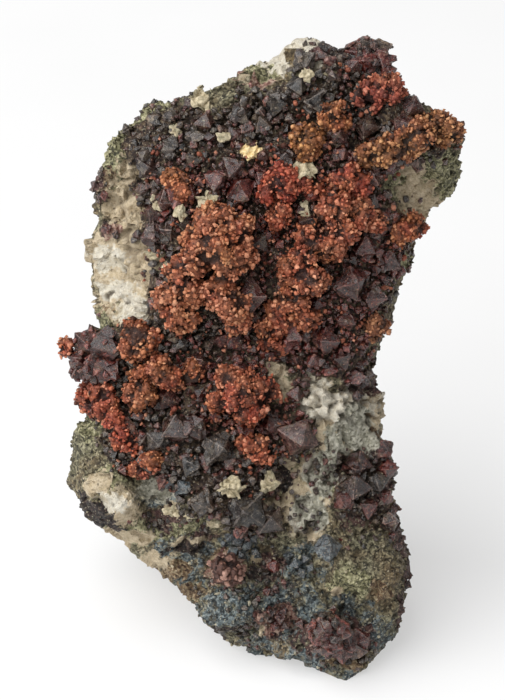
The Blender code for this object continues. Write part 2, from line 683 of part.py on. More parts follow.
def flake_mesh(u, v, half_width, half_height, points, turn, grow):
    """Thin plate with a ragged star edge."""
    dice = random.Random(points)
    depth = face_at(u, v) + FLAKE_LIFT + grow
    body = bmesh.new()
    rims = [[], []]
    for i in range(2 * points):
        angle = math.radians(turn) + math.pi * i / points
        reach = dice.uniform(0.9, 1.15) if i % 2 == 0 else dice.uniform(0.55, 0.75)
        edge_u = u + (half_width + 1.5 * grow) * reach * math.cos(angle)
        edge_v = v + (half_height + 1.5 * grow) * reach * math.sin(angle)
        slope = 0.25 * (edge_u - u) - 0.2 * (edge_v - v)
        for level, rim in zip((0.0, -FLAKE_THICKNESS - 2.0 * grow), rims):
            rim.append(body.verts.new(place(edge_u, edge_v, depth + slope + level)))
    body.faces.new(rims[0])
    body.faces.new(list(reversed(rims[1])))
    for i in range(2 * points):
        j = (i + 1) % (2 * points)
        body.faces.new((rims[0][j], rims[0][i], rims[1][i], rims[1][j]))
    return finished(outward(body))


def surface(name, colour, roughness, metallic):
    material = bpy.data.materials.new(name)
    material.use_nodes = True
    shader = material.node_tree.nodes["Principled BSDF"]
    shader.inputs["Base Color"].default_value = (*colour, 1.0)
    shader.inputs["Roughness"].default_value = roughness
    shader.inputs["Metallic"].default_value = metallic
    return material


def rock_surface():
    return surface("matrix", (0.36, 0.33, 0.26), 0.85, 0.0)


def cuprite_surface():
    return surface("cuprite", (0.11, 0.06, 0.07), 0.3, 0.1)


def copper_surface():
    return surface("copper", (0.38, 0.15, 0.07), 0.5, 0.35)


def calcite_surface():
    return surface("calcite", (0.72, 0.66, 0.5), 0.6, 0.0)


def add_solid(name, mesh, material):
    mesh.transform(Matrix.Scale(MM, 4))
    mesh.name = name
    mesh.materials.clear()
    mesh.materials.append(material)
    solid = bpy.data.objects.new(name, mesh)
    bpy.context.collection.objects.link(solid)
    return solid


def grown_crystals(crystals):
    """Same crystals with every flat face moved outward by the gap."""
    return [(centre, radius + GAP * math.sqrt(3.0)) for centre, radius in crystals]


def build():
    for item in list(bpy.data.objects):
        bpy.data.objects.remove(item, do_unlink=True)

    rock = rock_surface()
    cuprite = cuprite_surface()
    copper = copper_surface()
    calcite = calcite_surface()

    slab = slab_mesh()
    add_solid("matrix_rock", slab.copy(), rock)
    covers = [swollen(slab, GAP), crust_mesh(DRUSE_EDGE, GAP), crust_mesh(RIM_EDGE, GAP), crust_mesh(FOOT_EDGE, GAP)]
    slab_cover = covers[0]

    # Copper first, because the crystals keep clear of it
    for index, (name, (rise, lumps)) in enumerate(COPPER.items()):
        placed = copper_lumps(rise, lumps)
        mass = without(lumps_mesh(placed, index, 0.0), covers)
        add_solid(name, mass, copper)
        covers.append(lumps_mesh(placed, index, GAP))

    # Bunches that stand clear of the crust
    left_bunch = in_space(LEFT_BUNCH)
    bunch = without(octahedra_mesh(left_bunch, LEFT_GROUP), covers)
    add_solid("cuprite_cluster_left", bunch, cuprite)
    covers.append(octahedra_mesh(grown_crystals(left_bunch), LEFT_GROUP))
    top_bunch = in_space(TOP_BUNCH)
    bunch = without(octahedra_mesh(top_bunch, TOP_GROUP), covers)
    add_solid("cuprite_cluster_top", bunch, cuprite)
    covers.append(octahedra_mesh(grown_crystals(top_bunch), TOP_GROUP))
    knob = without(lumps_mesh(in_space(LEFT_KNOB), 0, 0.0), covers)
    add_solid("copper_knob_edge", knob, copper)

    # Flakes
    for name, shape in FLAKES.items():
        add_solid(name, without(flake_mesh(*shape, 0.0), covers), calcite)
    covers += [flake_mesh(*shape, GAP) for shape in FLAKES.values()]

    # Crusts with their crystals
    taken = [lump for _, lumps in COPPER.values() for lump in lumps]
    taken += [(u, v, 1.1 * max(half_u, half_v)) for u, v, half_u, half_v, _, _ in FLAKES.values()]
    small = scattered_crystals(DRUSE_EDGE, taken + DRUSE_CRYSTALS)
    neighbours = covers[4:]
    crusts = {
        "cuprite_druse": (DRUSE_GROUP, DRUSE_EDGE, on_face(DRUSE_CRYSTALS, LARGE_LIFT) + on_face(small, SMALL_LIFT)),
        "cuprite_rim_right": (RIM_GROUP, RIM_EDGE, on_face(RIM_CRYSTALS, RIM_LIFT)),
        "cuprite_foot_cluster": (FOOT_GROUP, FOOT_EDGE, on_face(FOOT_CRYSTALS, RIM_LIFT)),
    }
    for name, (group, edge, placed) in crusts.items():
        crystals = octahedra_mesh(placed, group)
        crystals = combined_all(crystals, cuts(crystals, neighbours))
        steps = [("UNION", crystals), ("DIFFERENCE", slab_cover.copy())]
        add_solid(name, combined(crust_mesh(edge, 0.0), steps), cuprite)


build()
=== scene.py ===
"""Looks of the cuprite specimen: broken rock, a crust of octahedra, granular native copper and pale calcite.

Lengths are millimetres unless a comment says otherwise. A layout point (u, v) is where a thing is seen
on the face from the eye, with u to the right and v up from the middle of the view. Its depth towards the
eye is w.
"""

import json
import math
import random

import bmesh
import bpy
from mathutils import Matrix, Vector, noise
from mathutils.bvhtree import BVHTree

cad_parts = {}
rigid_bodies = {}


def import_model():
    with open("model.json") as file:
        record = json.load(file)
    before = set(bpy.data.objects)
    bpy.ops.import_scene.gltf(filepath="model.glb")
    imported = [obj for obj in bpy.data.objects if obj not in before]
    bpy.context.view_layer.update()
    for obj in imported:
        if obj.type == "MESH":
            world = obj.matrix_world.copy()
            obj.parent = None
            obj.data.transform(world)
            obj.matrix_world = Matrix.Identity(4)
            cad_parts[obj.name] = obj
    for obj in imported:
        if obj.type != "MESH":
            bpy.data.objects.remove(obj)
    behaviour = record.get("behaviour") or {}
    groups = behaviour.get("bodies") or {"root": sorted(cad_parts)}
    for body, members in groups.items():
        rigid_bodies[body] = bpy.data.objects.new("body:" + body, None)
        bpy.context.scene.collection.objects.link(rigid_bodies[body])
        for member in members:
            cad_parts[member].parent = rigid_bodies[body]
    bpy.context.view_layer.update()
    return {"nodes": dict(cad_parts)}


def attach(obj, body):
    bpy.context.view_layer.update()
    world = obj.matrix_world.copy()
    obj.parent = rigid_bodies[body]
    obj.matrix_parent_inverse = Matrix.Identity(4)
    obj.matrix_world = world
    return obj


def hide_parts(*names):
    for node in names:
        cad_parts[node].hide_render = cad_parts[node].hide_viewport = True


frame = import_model()

# The eye and the layout, as on the solids
MM = 0.001
VIEW_TILT = math.radians(30.0)
EYE_DISTANCE = 600.0
VIEW_HEIGHT = 108.53
SENSOR = 36.0
FACE_CENTRE = Vector((-1.1, 1.8, 46.9))
RIGHT = Vector((1.0, 0.0, 0.0))
UP = Vector((0.0, math.sin(VIEW_TILT), math.cos(VIEW_TILT)))
OUT = Vector((0.0, -math.cos(VIEW_TILT), math.sin(VIEW_TILT)))
EYE = FACE_CENTRE + OUT * EYE_DISTANCE

# Camera, floor and light, in metres
NEAREST, FARTHEST = 0.01, 10.0
FLOOR_SIZE = 2.5
FLOOR_GLOW = 0.5
FLOOR_DARK = (0.43, 0.43, 0.43, 1.0)
FLOOR_PALE = (0.45, 0.45, 0.45, 1.0)
WHITE_LIGHT = (1.0, 1.0, 1.0, 1.0)
SKY_STRENGTH = 0.27
KEY_PLACE = Vector((-0.62, -0.42, 0.92))
KEY_AIM = Vector((0.0, 0.0, 0.05))
KEY_SIZE = 1.6
KEY_POWER = 24.0

# Grain of the meshes and height of their relief
ROCK_VOXEL = 0.47
CORE_VOXEL = 0.26
FLAKE_VOXEL = 0.13
CRUST_RISE = 1.0
BUBBLE_SIZE = 2.0
BUBBLE_HEIGHT = 1.3

# Angles in degrees above which edges stay sharp, and how far rays and searches reach
ROCK_SHARP, CRYSTAL_SHARP, LUMP_SHARP = 38.0, 24.0, 18.0
REACH = 9.0

# Where in the noise the three parts of a wandering vector are read
WANDER_SHIFTS = (Vector((2.6, 7.4, 1.8)), Vector((-6.3, -2.7, 5.2)), Vector((8.1, -4.9, -3.6)))

# What is sown: spacing, smallest and largest radius, and how far it is set out of its ground at most
BEADS = (0.46, (0.16, 0.42), 0.25)
TUFT_CRYSTALS = (0.85, (0.4, 0.85), 0.25)
GRIT = (0.95, (0.14, 0.44), 0.1)
LOOSE_CRYSTALS = (0.95, (0.3, 0.8), 0.3)
BUNCH_CRYSTALS = (1.4, (0.55, 1.25), -0.2)
SPRINKLE = (0.62, (0.16, 0.42), 0.7)
MIDDLE_CRYSTALS = (2.1, (0.9, 1.8), 0.25)
SMALL_CRYSTALS = (1.05, (0.45, 0.95), 0.25)
TINY_CRYSTALS = (0.76, (0.24, 0.5), 0.25)
GRIT_SEED, LOOSE_SEED, BUNCH_SEED, SPRINKLE_SEED = 1, 3, 9, 77

# Height of the ground above the rock's face, for what is sown on the crust
MIDDLE_RISE, SMALL_RISE, TINY_RISE, SPRINKLE_RISE = 1.4, 1.5, 1.4, 1.6

# Crystals that stand out: (u, v, radius), and bunches in space: (u, v, w, radius)
DRUSE_CRYSTALS = [
    (-0.9, -24.9, 3.5), (2.7, -26.4, 2.7), (7.2, -13.5, 3.5), (-11.8, -12.2, 2.9), (-8.9, -11.9, 2.7),
    (-5.2, -15.2, 3.1), (-14.6, -14.2, 2.4), (-9.4, -17.8, 2.1), (-7.6, -23.9, 2.4), (-0.3, 8.6, 3.1),
    (15.2, 10.6, 3.2), (18.7, 8.2, 2.4), (14.3, 4.8, 2.0), (11.4, 1.6, 2.5), (13.8, -1.4, 2.0),
    (-15.4, 17.7, 2.2), (-15.3, 21.3, 1.9), (-3.1, 28.2, 2.4), (-1.8, 24.9, 2.6), (-5.7, 26.2, 2.1),
    (-16.2, 28.6, 2.3), (9.6, 38.4, 2.3), (12.0, 39.2, 1.5), (6.9, 41.0, 1.9), (23.2, 34.9, 2.6),
    (24.6, 38.0, 2.2), (17.6, 34.8, 2.3), (17.6, 37.4, 1.6), (13.0, 33.3, 2.3), (18.4, 26.8, 2.0),
    (18.1, 22.8, 1.9), (1.2, 16.9, 1.9), (-8.4, -1.8, 2.2), (-11.0, 1.0, 1.8), (6.6, 2.2, 2.0),
    (6.6, -1.2, 1.6), (6.7, -6.9, 1.6), (-13.2, -7.4, 2.1), (-8.2, -6.4, 1.6), (3.0, -11.6, 2.2),
    (-1.4, 19.9, 1.8), (8.2, 19.6, 2.0), (17.4, 16.0, 2.2), (21.4, 13.4, 2.0), (-12.6, 32.0, 1.8),
    (-7.4, 35.4, 1.9), (-1.8, 36.6, 2.2), (3.4, 38.2, 2.1), (-9.4, 29.6, 1.9), (5.2, 29.6, 2.0),
    (1.6, 35.0, 1.9), (-13.4, 23.4, 1.9), (-12.6, 18.6, 1.8), (-2.6, 33.4, 1.6), (-5.2, -20.0, 1.6),
]
RIM_CRYSTALS = [
    (20.3, -15.4, 2.0), (20.9, -18.4, 1.9), (16.4, -17.6, 2.6), (16.0, -21.2, 2.7), (19.2, -20.6, 2.2),
    (14.2, -23.4, 2.0), (20.6, -22.8, 1.7), (18.0, -24.4, 1.9), (21.6, -26.8, 1.5),
]
FOOT_CRYSTALS = [
    (10.4, -43.6, 2.5), (13.0, -43.4, 2.6), (11.8, -45.6, 2.4), (14.6, -45.0, 2.6), (16.0, -46.4, 2.0),
    (13.8, -47.0, 2.0), (16.8, -44.8, 2.1),
]
LEFT_BUNCH = [
    (-25.7, 0.8, 1.8, 2.9), (-22.9, 0.6, 3.8, 3.6), (-26.6, -3.0, 1.0, 2.4), (-24.6, -2.9, 2.8, 2.7),
    (-22.4, -3.0, 3.8, 2.9), (-24.6, 2.4, 0.8, 1.9), (-26.9, -1.2, 1.4, 1.9),
]
TOP_BUNCH = [
    (17.6, 46.8, 11.6, 2.3), (20.0, 46.8, 10.8, 1.7), (15.4, 46.0, 12.6, 1.9), (17.4, 44.6, 13.6, 2.5),
    (20.0, 44.8, 12.0, 2.3), (20.7, 43.2, 12.2, 1.7), (13.2, 44.8, 15.4, 2.0), (15.2, 43.8, 15.2, 2.0),
    (12.4, 45.6, 15.0, 1.6), (10.6, 45.9, 15.8, 1.9), (8.1, 44.8, 17.0, 2.1), (18.8, 43.4, 12.2, 1.9),
    (17.0, 42.8, 13.2, 1.8),
]
BLUISH_CRYSTALS = [
    (-3.6, -29.0, 1.0), (-2.2, -29.6, 1.2), (-0.9, -30.2, 1.0), (-3.0, -31.0, 1.1), (-1.6, -31.8, 0.9),
    (-4.4, -30.0, 0.8), (0.2, -29.2, 0.9), (0.8, -31.8, 0.7), (11.6, -30.6, 2.3), (5.6, -31.8, 0.9),
    (6.8, -33.2, 1.1), (8.2, -32.4, 0.8), (7.6, -34.6, 0.9), (9.0, -33.8, 0.8), (-10.6, -21.4, 1.6),
    (-12.6, -20.6, 1.3), (0.5, -31.2, 0.8),
]
RED_CRYSTALS = [
    (2.8, -40.6, 1.0), (4.2, -41.4, 1.2), (3.4, -42.8, 1.0), (5.2, -42.6, 0.9), (7.5, -42.4, 1.1),
    (4.9, -40.4, 0.8), (3.3, -33.5, 1.4), (-17.5, 32.3, 0.8), (-11.0, 29.3, 0.8), (-13.3, 28.8, 0.7),
    (2.2, -37.4, 0.9), (3.6, -36.8, 0.7), (23.4, 20.2, 1.1), (25.0, 18.6, 1.0), (22.6, 18.2, 0.9),
    (-24.2, 25.6, 1.2), (-23.0, 24.0, 0.9), (-22.6, 18.8, 1.1), (-21.2, 17.8, 0.8), (22.4, -30.6, 1.0),
    (21.6, -28.8, 0.8), (24.0, -36.4, 0.9), (9.8, 46.4, 0.9), (11.2, 47.0, 0.8), (22.0, -24.6, 1.1),
    (16.4, -2.6, 1.2), (17.0, -4.8, 1.3), (16.2, -7.2, 1.1),
]

# Step between the seeds of two pieces of crystals, and how much larger these are than on the solids
GROUP_STEP = 1000
CRYSTAL_GROWTH = 1.03

# Pieces of large crystals: the crystals, how far they are raised as a share of their radius, how red, how
# blue, the range of their tone and the nodes replaced. Bunches aren't raised. Red is by place where None.
LARGE_PIECES = {
    "druse_crystals": (DRUSE_CRYSTALS, 0.75, None, 0.0, (0.0, 0.55), ["cuprite_druse"]),
    "rim_crystals": (RIM_CRYSTALS, 0.6, 0.45, 0.0, (0.0, 0.7), ["cuprite_rim_right"]),
    "foot_crystals": (FOOT_CRYSTALS, 0.6, 0.5, 0.0, (0.2, 0.9), ["cuprite_foot_cluster"]),
    "left_bunch": (LEFT_BUNCH, None, 1.1, 0.0, (0.0, 0.3), ["cuprite_cluster_left"]),
    "top_bunch": (TOP_BUNCH, None, 0.2, 0.0, (0.5, 1.0), ["cuprite_cluster_top"]),
    "bluish_crystals": (BLUISH_CRYSTALS, 0.5, 0.0, 0.9, (0.4, 1.0), []),
    "red_crystals": (RED_CRYSTALS, 0.5, 0.7, 0.0, (0.0, 0.7), []),
}

# Bunches with small crystals between the large ones: the node, and how red they are
BUNCHES = {
    "left_bunch_small": ("cuprite_cluster_left", 0.9), "top_bunch_small": ("cuprite_cluster_top", 0.25),
    "foot_bunch_small": ("cuprite_foot_cluster", 0.5),
}

# Where crystals are redder, because copper lies among them: (u, v, half width, half height)
WARM_PATCHES = [(6.0, 22.0, 16.0, 8.0), (12.0, 12.0, 12.0, 14.0), (0.0, -6.0, 12.0, 6.0)]

# Copper masses, each with how red and how ochre it is, and the dull ones among them
COPPER_TINTS = {
    "copper_dome": (0.1, 0.1), "copper_band": (0.35, 0.1), "copper_ridge": (0.25, 0.75),
    "copper_crest": (1.0, 0.1), "copper_tuft_ochre": (0.1, 1.0), "copper_tuft_high": (0.6, 0.5),
    "copper_reds": (0.9, 0.0), "copper_reds_right": (0.8, 0.1), "copper_heart": (0.6, 0.0),
    "copper_bunch_left": (0.3, 0.3), "copper_bunch_low_left": (0.3, 0.25), "copper_triangle": (0.5, 0.0),
    "copper_finger": (0.75, 0.1), "copper_knot_left": (0.6, 0.1), "copper_tuft_low": (0.5, 0.1),
    "copper_tuft_left_low": (0.6, 0.2), "copper_tuft_foot": (0.4, 0.2), "copper_edge_right": (0.5, 0.6),
    "copper_shoulder": (0.6, 0.4), "copper_tuft_upper_left": (0.4, 0.3), "copper_knob_edge": (0.3, 0.2),
}
DULL_COPPER = {"copper_tuft_foot": 1.0, "copper_crest": 0.25, "copper_ridge": 0.15, "copper_edge_right": 0.3}
CRUSTS = ["cuprite_druse", "cuprite_rim_right", "cuprite_foot_cluster"]
FLAKES = ["calcite_flake_" + where for where in ("star", "upper", "left", "high", "low_left", "low_right")]
STAR = "calcite_flake_star"
CRYSTALLINE_TUFT = "copper_tuft_foot"

# Patches of finish on the rock's face: (u, v, half width, half height)
CREAM_PATCHES = [
    (-21.0, 12.3, 5.6, 5.2), (-18.8, 20.5, 2.4, 8.5), (-21.8, 22.6, 1.9, 2.4), (-18.8, 6.0, 2.8, 2.2),
    (8.0, 46.6, 7.0, 2.6), (0.5, 41.7, 2.2, 1.0), (9.6, -4.8, 2.2, 1.5), (13.0, -8.6, 5.6, 2.6),
    (19.2, -9.8, 1.4, 2.4), (14.4, -15.0, 1.2, 2.6), (10.4, -18.6, 2.6, 1.8), (4.4, -23.6, 2.2, 1.0),
    (7.6, -26.6, 1.6, 2.6), (5.4, -16.9, 1.5, 1.3), (3.4, -5.0, 2.6, 2.6), (-21.4, -24.4, 3.4, 2.6),
    (9.4, -22.6, 2.6, 2.4), (12.8, -12.2, 2.2, 2.0), (6.0, -23.6, 3.0, 1.6), (3.2, -2.6, 2.6, 1.6),
    (7.8, -20.6, 2.2, 2.4), (-18.6, -29.4, 3.0, 1.1), (-15.6, -32.8, 2.6, 1.2), (-22.6, -28.6, 2.2, 0.9),
    (8.0, -26.6, 2.2, 3.0), (-24.0, -21.2, 1.8, 2.0), (26.0, 23.0, 2.4, 3.2), (25.4, 27.2, 1.5, 1.6),
    (11.2, -14.4, 2.0, 2.0), (-10.3, -30.2, 2.6, 0.7), (17.0, -12.6, 1.8, 2.8), (-12.5, -25.0, 1.2, 0.9),
    (-9.7, -25.7, 1.0, 0.8), (-5.8, -26.8, 1.0, 0.8), (13.3, -38.0, 0.9, 0.8), (2.0, -43.5, 0.8, 0.6),
    (0.7, -32.5, 0.9, 0.6),
]
GREEN_PATCHES = [
    (-21.4, 30.4, 3.0, 4.0), (-16.5, 36.4, 6.8, 2.2), (1.2, 44.0, 2.6, 1.3), (27.6, 26.5, 6.0, 5.0),
    (24.4, 14.6, 1.6, 3.0), (3.6, -5.2, 3.0, 3.2), (17.0, -12.6, 2.0, 3.0), (11.3, -21.0, 2.0, 2.4),
    (15.0, -36.5, 2.6, 2.6), (-21.8, -19.6, 2.8, 1.6), (-23.0, 4.6, 1.6, 2.4), (-19.6, 25.4, 2.6, 3.2),
    (-17.0, -28.4, 3.8, 2.0), (-10.4, -27.6, 4.0, 1.6), (6.0, -20.0, 2.4, 4.0), (-25.5, -5.0, 2.0, 8.0),
    (-23.6, -22.4, 1.6, 3.0),
]
SLATE_PATCHES = [
    (-10.5, -33.4, 5.0, 3.6), (-4.5, -40.5, 4.6, 3.4), (-2.0, -30.4, 2.8, 2.2), (7.5, -33.0, 3.4, 2.6),
    (15.0, -40.4, 3.8, 1.6), (18.4, -44.2, 3.2, 2.2), (9.2, -47.4, 3.4, 1.8), (14.0, -49.8, 2.6, 2.2),
    (3.4, -38.0, 4.0, 3.0), (-14.5, -22.6, 3.0, 1.6), (2.6, -45.4, 3.4, 1.6), (5.5, -41.0, 6.0, 3.6),
]
RUST_PATCHES = [
    (-13.2, -34.8, 2.4, 1.2), (-10.2, -37.6, 2.0, 1.2), (-23.0, -29.4, 2.4, 0.8), (19.7, -37.0, 1.2, 1.2),
    (14.5, -48.0, 3.0, 1.4), (23.8, 18.4, 3.4, 2.8), (19.0, -11.0, 1.6, 2.4), (-22.4, 7.0, 1.2, 1.2),
    (-23.4, 25.2, 2.0, 2.4), (12.0, 47.0, 1.4, 1.2), (-4.2, -33.8, 3.0, 2.0), (-20.0, -12.0, 2.6, 3.2),
]
MAROON_PATCHES = [
    (-21.8, 18.4, 1.8, 1.6), (-24.0, 25.0, 1.6, 2.4), (16.8, -6.0, 2.6, 2.6), (17.4, -20.6, 4.4, 5.6),
    (3.6, -41.8, 2.4, 2.0), (3.3, -33.5, 1.8, 1.6), (12.8, -44.6, 5.0, 2.6), (-13.0, -26.4, 2.4, 1.4),
    (-7.4, -29.4, 1.8, 1.0), (10.5, 46.6, 1.4, 1.2), (23.6, -28.5, 0.9, 3.0), (24.6, -34.5, 0.6, 4.0),
    (23.6, -41.5, 0.9, 3.0),
]
# Painted shade, not a finish of the rock: nearly black patches along the grooves and under the ledges
GROOVE_SHADE_PATCHES = [
    (-26.8, -23.2, 1.4, 0.9), (-25.0, -25.0, 1.6, 0.9), (-22.8, -26.6, 1.8, 0.8), (-20.6, -27.5, 1.4, 0.7),
    (-10.6, -31.2, 2.6, 0.6), (1.0, -34.6, 2.0, 0.9), (-5.0, -43.6, 3.0, 0.7), (10.6, -43.4, 1.2, 2.0),
    (-20.8, -15.6, 2.0, 1.6), (4.6, -19.8, 1.6, 1.6),
]
VEIN_PATCHES = [
    (16.4, -11.6, 2.4, 3.0), (13.2, -15.4, 1.8, 2.5), (11.6, -18.4, 1.6, 2.4), (17.2, -13.0, 1.8, 3.2),
    (10.4, -21.2, 2.0, 2.0), (9.0, -25.4, 1.8, 2.6), (-15.0, -22.2, 2.8, 1.4),
]
# Places where the crust leaves the rock bare
BARE_PATCHES = [
    (1.2, 43.2, 4.4, 2.4), (6.5, 47.0, 5.0, 1.6), (-13.0, 39.2, 5.0, 1.2), (13.0, -8.4, 6.2, 3.4),
    (14.4, -14.0, 2.6, 4.4), (10.6, -20.0, 3.2, 4.4), (7.6, -26.2, 2.8, 3.8), (4.2, -4.6, 2.6, 3.4),
    (4.4, -23.4, 2.6, 1.4), (16.8, -12.0, 2.8, 3.6),
]
# Places where grains lie thick, where calcite is knobbly, and its pink and white parts
GRIT_PATCHES = [
    (17.0, -33.5, 7.6, 8.6), (28.0, 26.0, 5.4, 5.4), (-16.5, 36.4, 7.0, 2.4), (-22.4, 29.6, 2.6, 5.0),
    (-23.6, 24.6, 2.0, 3.0), (24.0, 17.5, 3.0, 3.4), (3.0, -38.0, 7.0, 6.0), (-8.0, -36.0, 7.0, 5.0),
    (14.0, -46.0, 6.0, 4.0), (-23.0, 4.6, 2.0, 2.4), (-25.0, -10.0, 3.0, 8.0), (5.0, -30.0, 6.0, 3.6),
]
PINK_PATCHES = [
    (0.2, 41.7, 2.2, 1.1), (3.8, -41.8, 2.0, 1.6), (-21.8, 18.2, 1.0, 0.8), (11.0, -44.0, 2.4, 1.6),
    (-4.2, -34.0, 2.6, 1.6),
]
WHITE_PATCHES = [
    (5.0, 45.8, 3.6, 1.8), (8.0, 46.8, 6.5, 2.4), (-18.8, 6.0, 2.4, 1.8), (13.0, -8.6, 5.6, 2.4),
    (-21.6, 9.6, 3.0, 1.4), (0.5, 41.7, 2.0, 0.9), (9.6, -4.8, 1.8, 1.2), (10.4, -18.6, 2.2, 1.4),
    (7.6, -26.2, 1.6, 2.4), (-22.6, 14.4, 2.0, 1.6), (-22.0, -23.6, 2.4, 1.6),
]
KNOB_PATCHES = [
    (13.0, -8.6, 5.8, 2.8), (9.6, -4.8, 2.2, 1.6), (10.4, -18.6, 2.8, 2.0), (4.4, -23.6, 2.4, 1.2),
    (7.6, -26.6, 1.8, 2.8), (-18.8, 21.0, 2.6, 8.0), (19.0, -10.0, 1.6, 2.8),
]

# Parts of the face that stand out or lie back: (u, v, half width, half height, rise)
RAISED_PATCHES = [
    (-21.8, -22.2, 3.8, 3.8, 1.5), (-10.6, -33.6, 3.2, 2.4, 1.3), (-4.0, -40.4, 4.4, 2.8, 1.2),
    (13.0, -8.6, 5.4, 2.6, 1.2), (13.6, -14.4, 1.3, 3.6, 1.3), (17.6, -33.6, 5.6, 5.2, 1.2),
    (8.8, -47.4, 3.6, 1.8, 0.9), (-26.0, -24.2, 2.4, 1.0, -1.0), (-22.0, -27.0, 3.0, 0.9, -1.2),
    (-10.4, -31.0, 3.0, 0.7, -0.9), (9.6, -43.4, 1.4, 2.0, -0.9), (7.6, -25.6, 2.2, 3.0, 0.9),
    (-18.9, 20.0, 1.6, 8.0, 0.8), (-22.2, 29.8, 2.4, 3.6, 1.0), (-13.2, -25.6, 1.4, 0.8, 0.6),
    (27.0, 27.0, 3.0, 4.0, 0.9),
]
# Places on the rock where small crystals lie loose among the grit
MIXED_PATCHES = [
    (-11.6, -26.4, 5.0, 2.8), (-20.6, -15.4, 2.8, 2.6), (1.0, -35.6, 6.0, 3.4), (5.0, -23.0, 3.2, 3.0),
    (11.6, -19.6, 3.6, 3.6), (0.6, -42.6, 3.6, 2.2), (18.4, -28.0, 4.4, 2.0), (23.2, 16.4, 3.0, 5.0),
    (-23.8, 24.8, 1.8, 2.8), (15.0, -47.6, 4.0, 2.0), (-15.4, 37.6, 6.0, 1.6), (9.0, -27.0, 3.0, 1.6),
    (-24.4, -3.0, 1.6, 6.0), (28.0, 31.0, 3.0, 2.0), (10.4, 46.6, 2.0, 1.4),
]

# Pale lumps and flakes that stand on the face: (u, v, radius, stretch along u, stretch along v)
PALE_BITS = [
    (-12.0, 34.0, 0.8, 1.0, 1.0), (-4.6, 33.0, 0.9, 1.0, 0.9), (-6.8, 37.3, 0.8, 0.8, 1.2),
    (-14.8, 23.0, 0.9, 1.0, 1.3), (-11.2, 21.4, 0.8, 0.9, 1.4), (8.0, 21.7, 0.8, 1.0, 1.2),
    (-15.0, 15.0, 0.9, 1.3, 0.9), (11.7, 43.0, 0.8, 1.3, 0.9), (8.4, 42.7, 0.8, 1.0, 1.0),
    (7.6, 28.6, 1.0, 1.0, 1.3), (-12.5, -25.0, 0.9, 1.1, 0.8), (-9.7, -25.7, 0.8, 1.0, 0.8),
    (-5.8, -26.8, 0.8, 1.1, 0.8), (-8.0, 21.6, 0.9, 0.7, 1.4), (-13.2, 12.8, 0.7, 1.0, 1.0),
]


def srgb(red, green, blue):
    """Linear colour of screen values from 0 to 255."""
    parts = []
    for value in (red, green, blue):
        share = value / 255.0
        parts.append(share / 12.92 if share <= 0.04045 else ((share + 0.055) / 1.055) ** 2.4)
    return (*parts, 1.0)


# Ramps of the rock's finishes: position, then red, green and blue as on screen
OLIVE = ((0.3, 50, 48, 37), (0.5, 120, 115, 90), (0.68, 186, 180, 148))
TAN = ((0.3, 70, 58, 44), (0.5, 128, 112, 86), (0.7, 172, 150, 112))
GREEN = ((0.3, 56, 56, 38), (0.5, 146, 143, 104), (0.68, 220, 214, 172))
SLATE = ((0.3, 38, 42, 46), (0.5, 96, 110, 114), (0.7, 158, 170, 172))
RUST = ((0.3, 76, 52, 40), (0.5, 154, 126, 94), (0.68, 188, 168, 134))
MAROON = ((0.3, 36, 24, 26), (0.5, 92, 60, 56), (0.7, 142, 112, 102))
CREAM = ((0.26, 172, 150, 112), (0.42, 216, 196, 162), (0.6, 242, 224, 194))
WHITE = ((0.26, 220, 206, 180), (0.46, 247, 238, 218), (0.62, 255, 250, 236))
PINK = ((0.3, 112, 70, 62), (0.5, 196, 150, 134), (0.68, 234, 204, 184))
VEIN = ((0.3, 136, 134, 116), (0.5, 206, 203, 184), (0.68, 240, 236, 220))
# Nearly black ramp of painted shade, for the grooves and under the ledges
GROOVE_SHADE = ((0.3, 20, 15, 14), (0.5, 48, 36, 34), (0.7, 96, 78, 70))
CRUST = ((0.3, 30, 20, 18), (0.5, 74, 56, 46), (0.7, 132, 112, 88))

# Ramps of the crystals, from etched hollows to worn ridges
CRYSTAL_GREY = ((0.36, 24, 20, 20), (0.48, 68, 58, 55), (0.58, 116, 104, 96), (0.68, 214, 206, 194))
CRYSTAL_BROWN = ((0.36, 27, 19, 17), (0.48, 84, 66, 56), (0.58, 134, 112, 92), (0.68, 214, 192, 162))
CRYSTAL_RED = ((0.36, 34, 10, 13), (0.48, 104, 36, 34), (0.58, 158, 72, 60), (0.68, 208, 148, 130))
CRYSTAL_BLUE = ((0.36, 32, 38, 46), (0.48, 84, 97, 107), (0.58, 126, 142, 150), (0.68, 200, 212, 214))
# Painted highlight: how much brighter each face is, the bevelled edges brightest
FACET_HIGHLIGHTS = ((0.0, 150, 150, 150), (0.7, 228, 226, 222), (1.0, 255, 252, 244))

# Ramps of the copper, from painted shade for the gaps to painted highlight for the tops of the grains (each
# bead lies at a random place on them), and of the pale calcite
COPPER_BROWN = ((0.0, 54, 27, 17), (0.25, 138, 80, 52), (0.65, 198, 122, 86), (1.0, 226, 162, 126))
COPPER_RED = ((0.0, 56, 20, 14), (0.3, 150, 62, 44), (0.7, 208, 100, 72), (1.0, 238, 154, 124))
COPPER_OCHRE = ((0.0, 52, 33, 17), (0.3, 138, 88, 48), (0.7, 190, 130, 76), (1.0, 226, 172, 112))
COPPER_DULL = ((0.0, 42, 28, 25), (0.4, 112, 78, 68), (1.0, 190, 150, 134))
FLAKE_GREY = ((0.28, 100, 86, 62), (0.46, 176, 162, 130), (0.64, 226, 212, 182))
FLAKE_YELLOW = ((0.28, 176, 142, 84), (0.46, 228, 200, 142), (0.64, 252, 232, 186))


def place(u, v, w):
    """World position in millimetres of a layout point."""
    shrink = (EYE_DISTANCE - w) / EYE_DISTANCE
    return FACE_CENTRE + RIGHT * (u * shrink) + UP * (v * shrink) + OUT * w


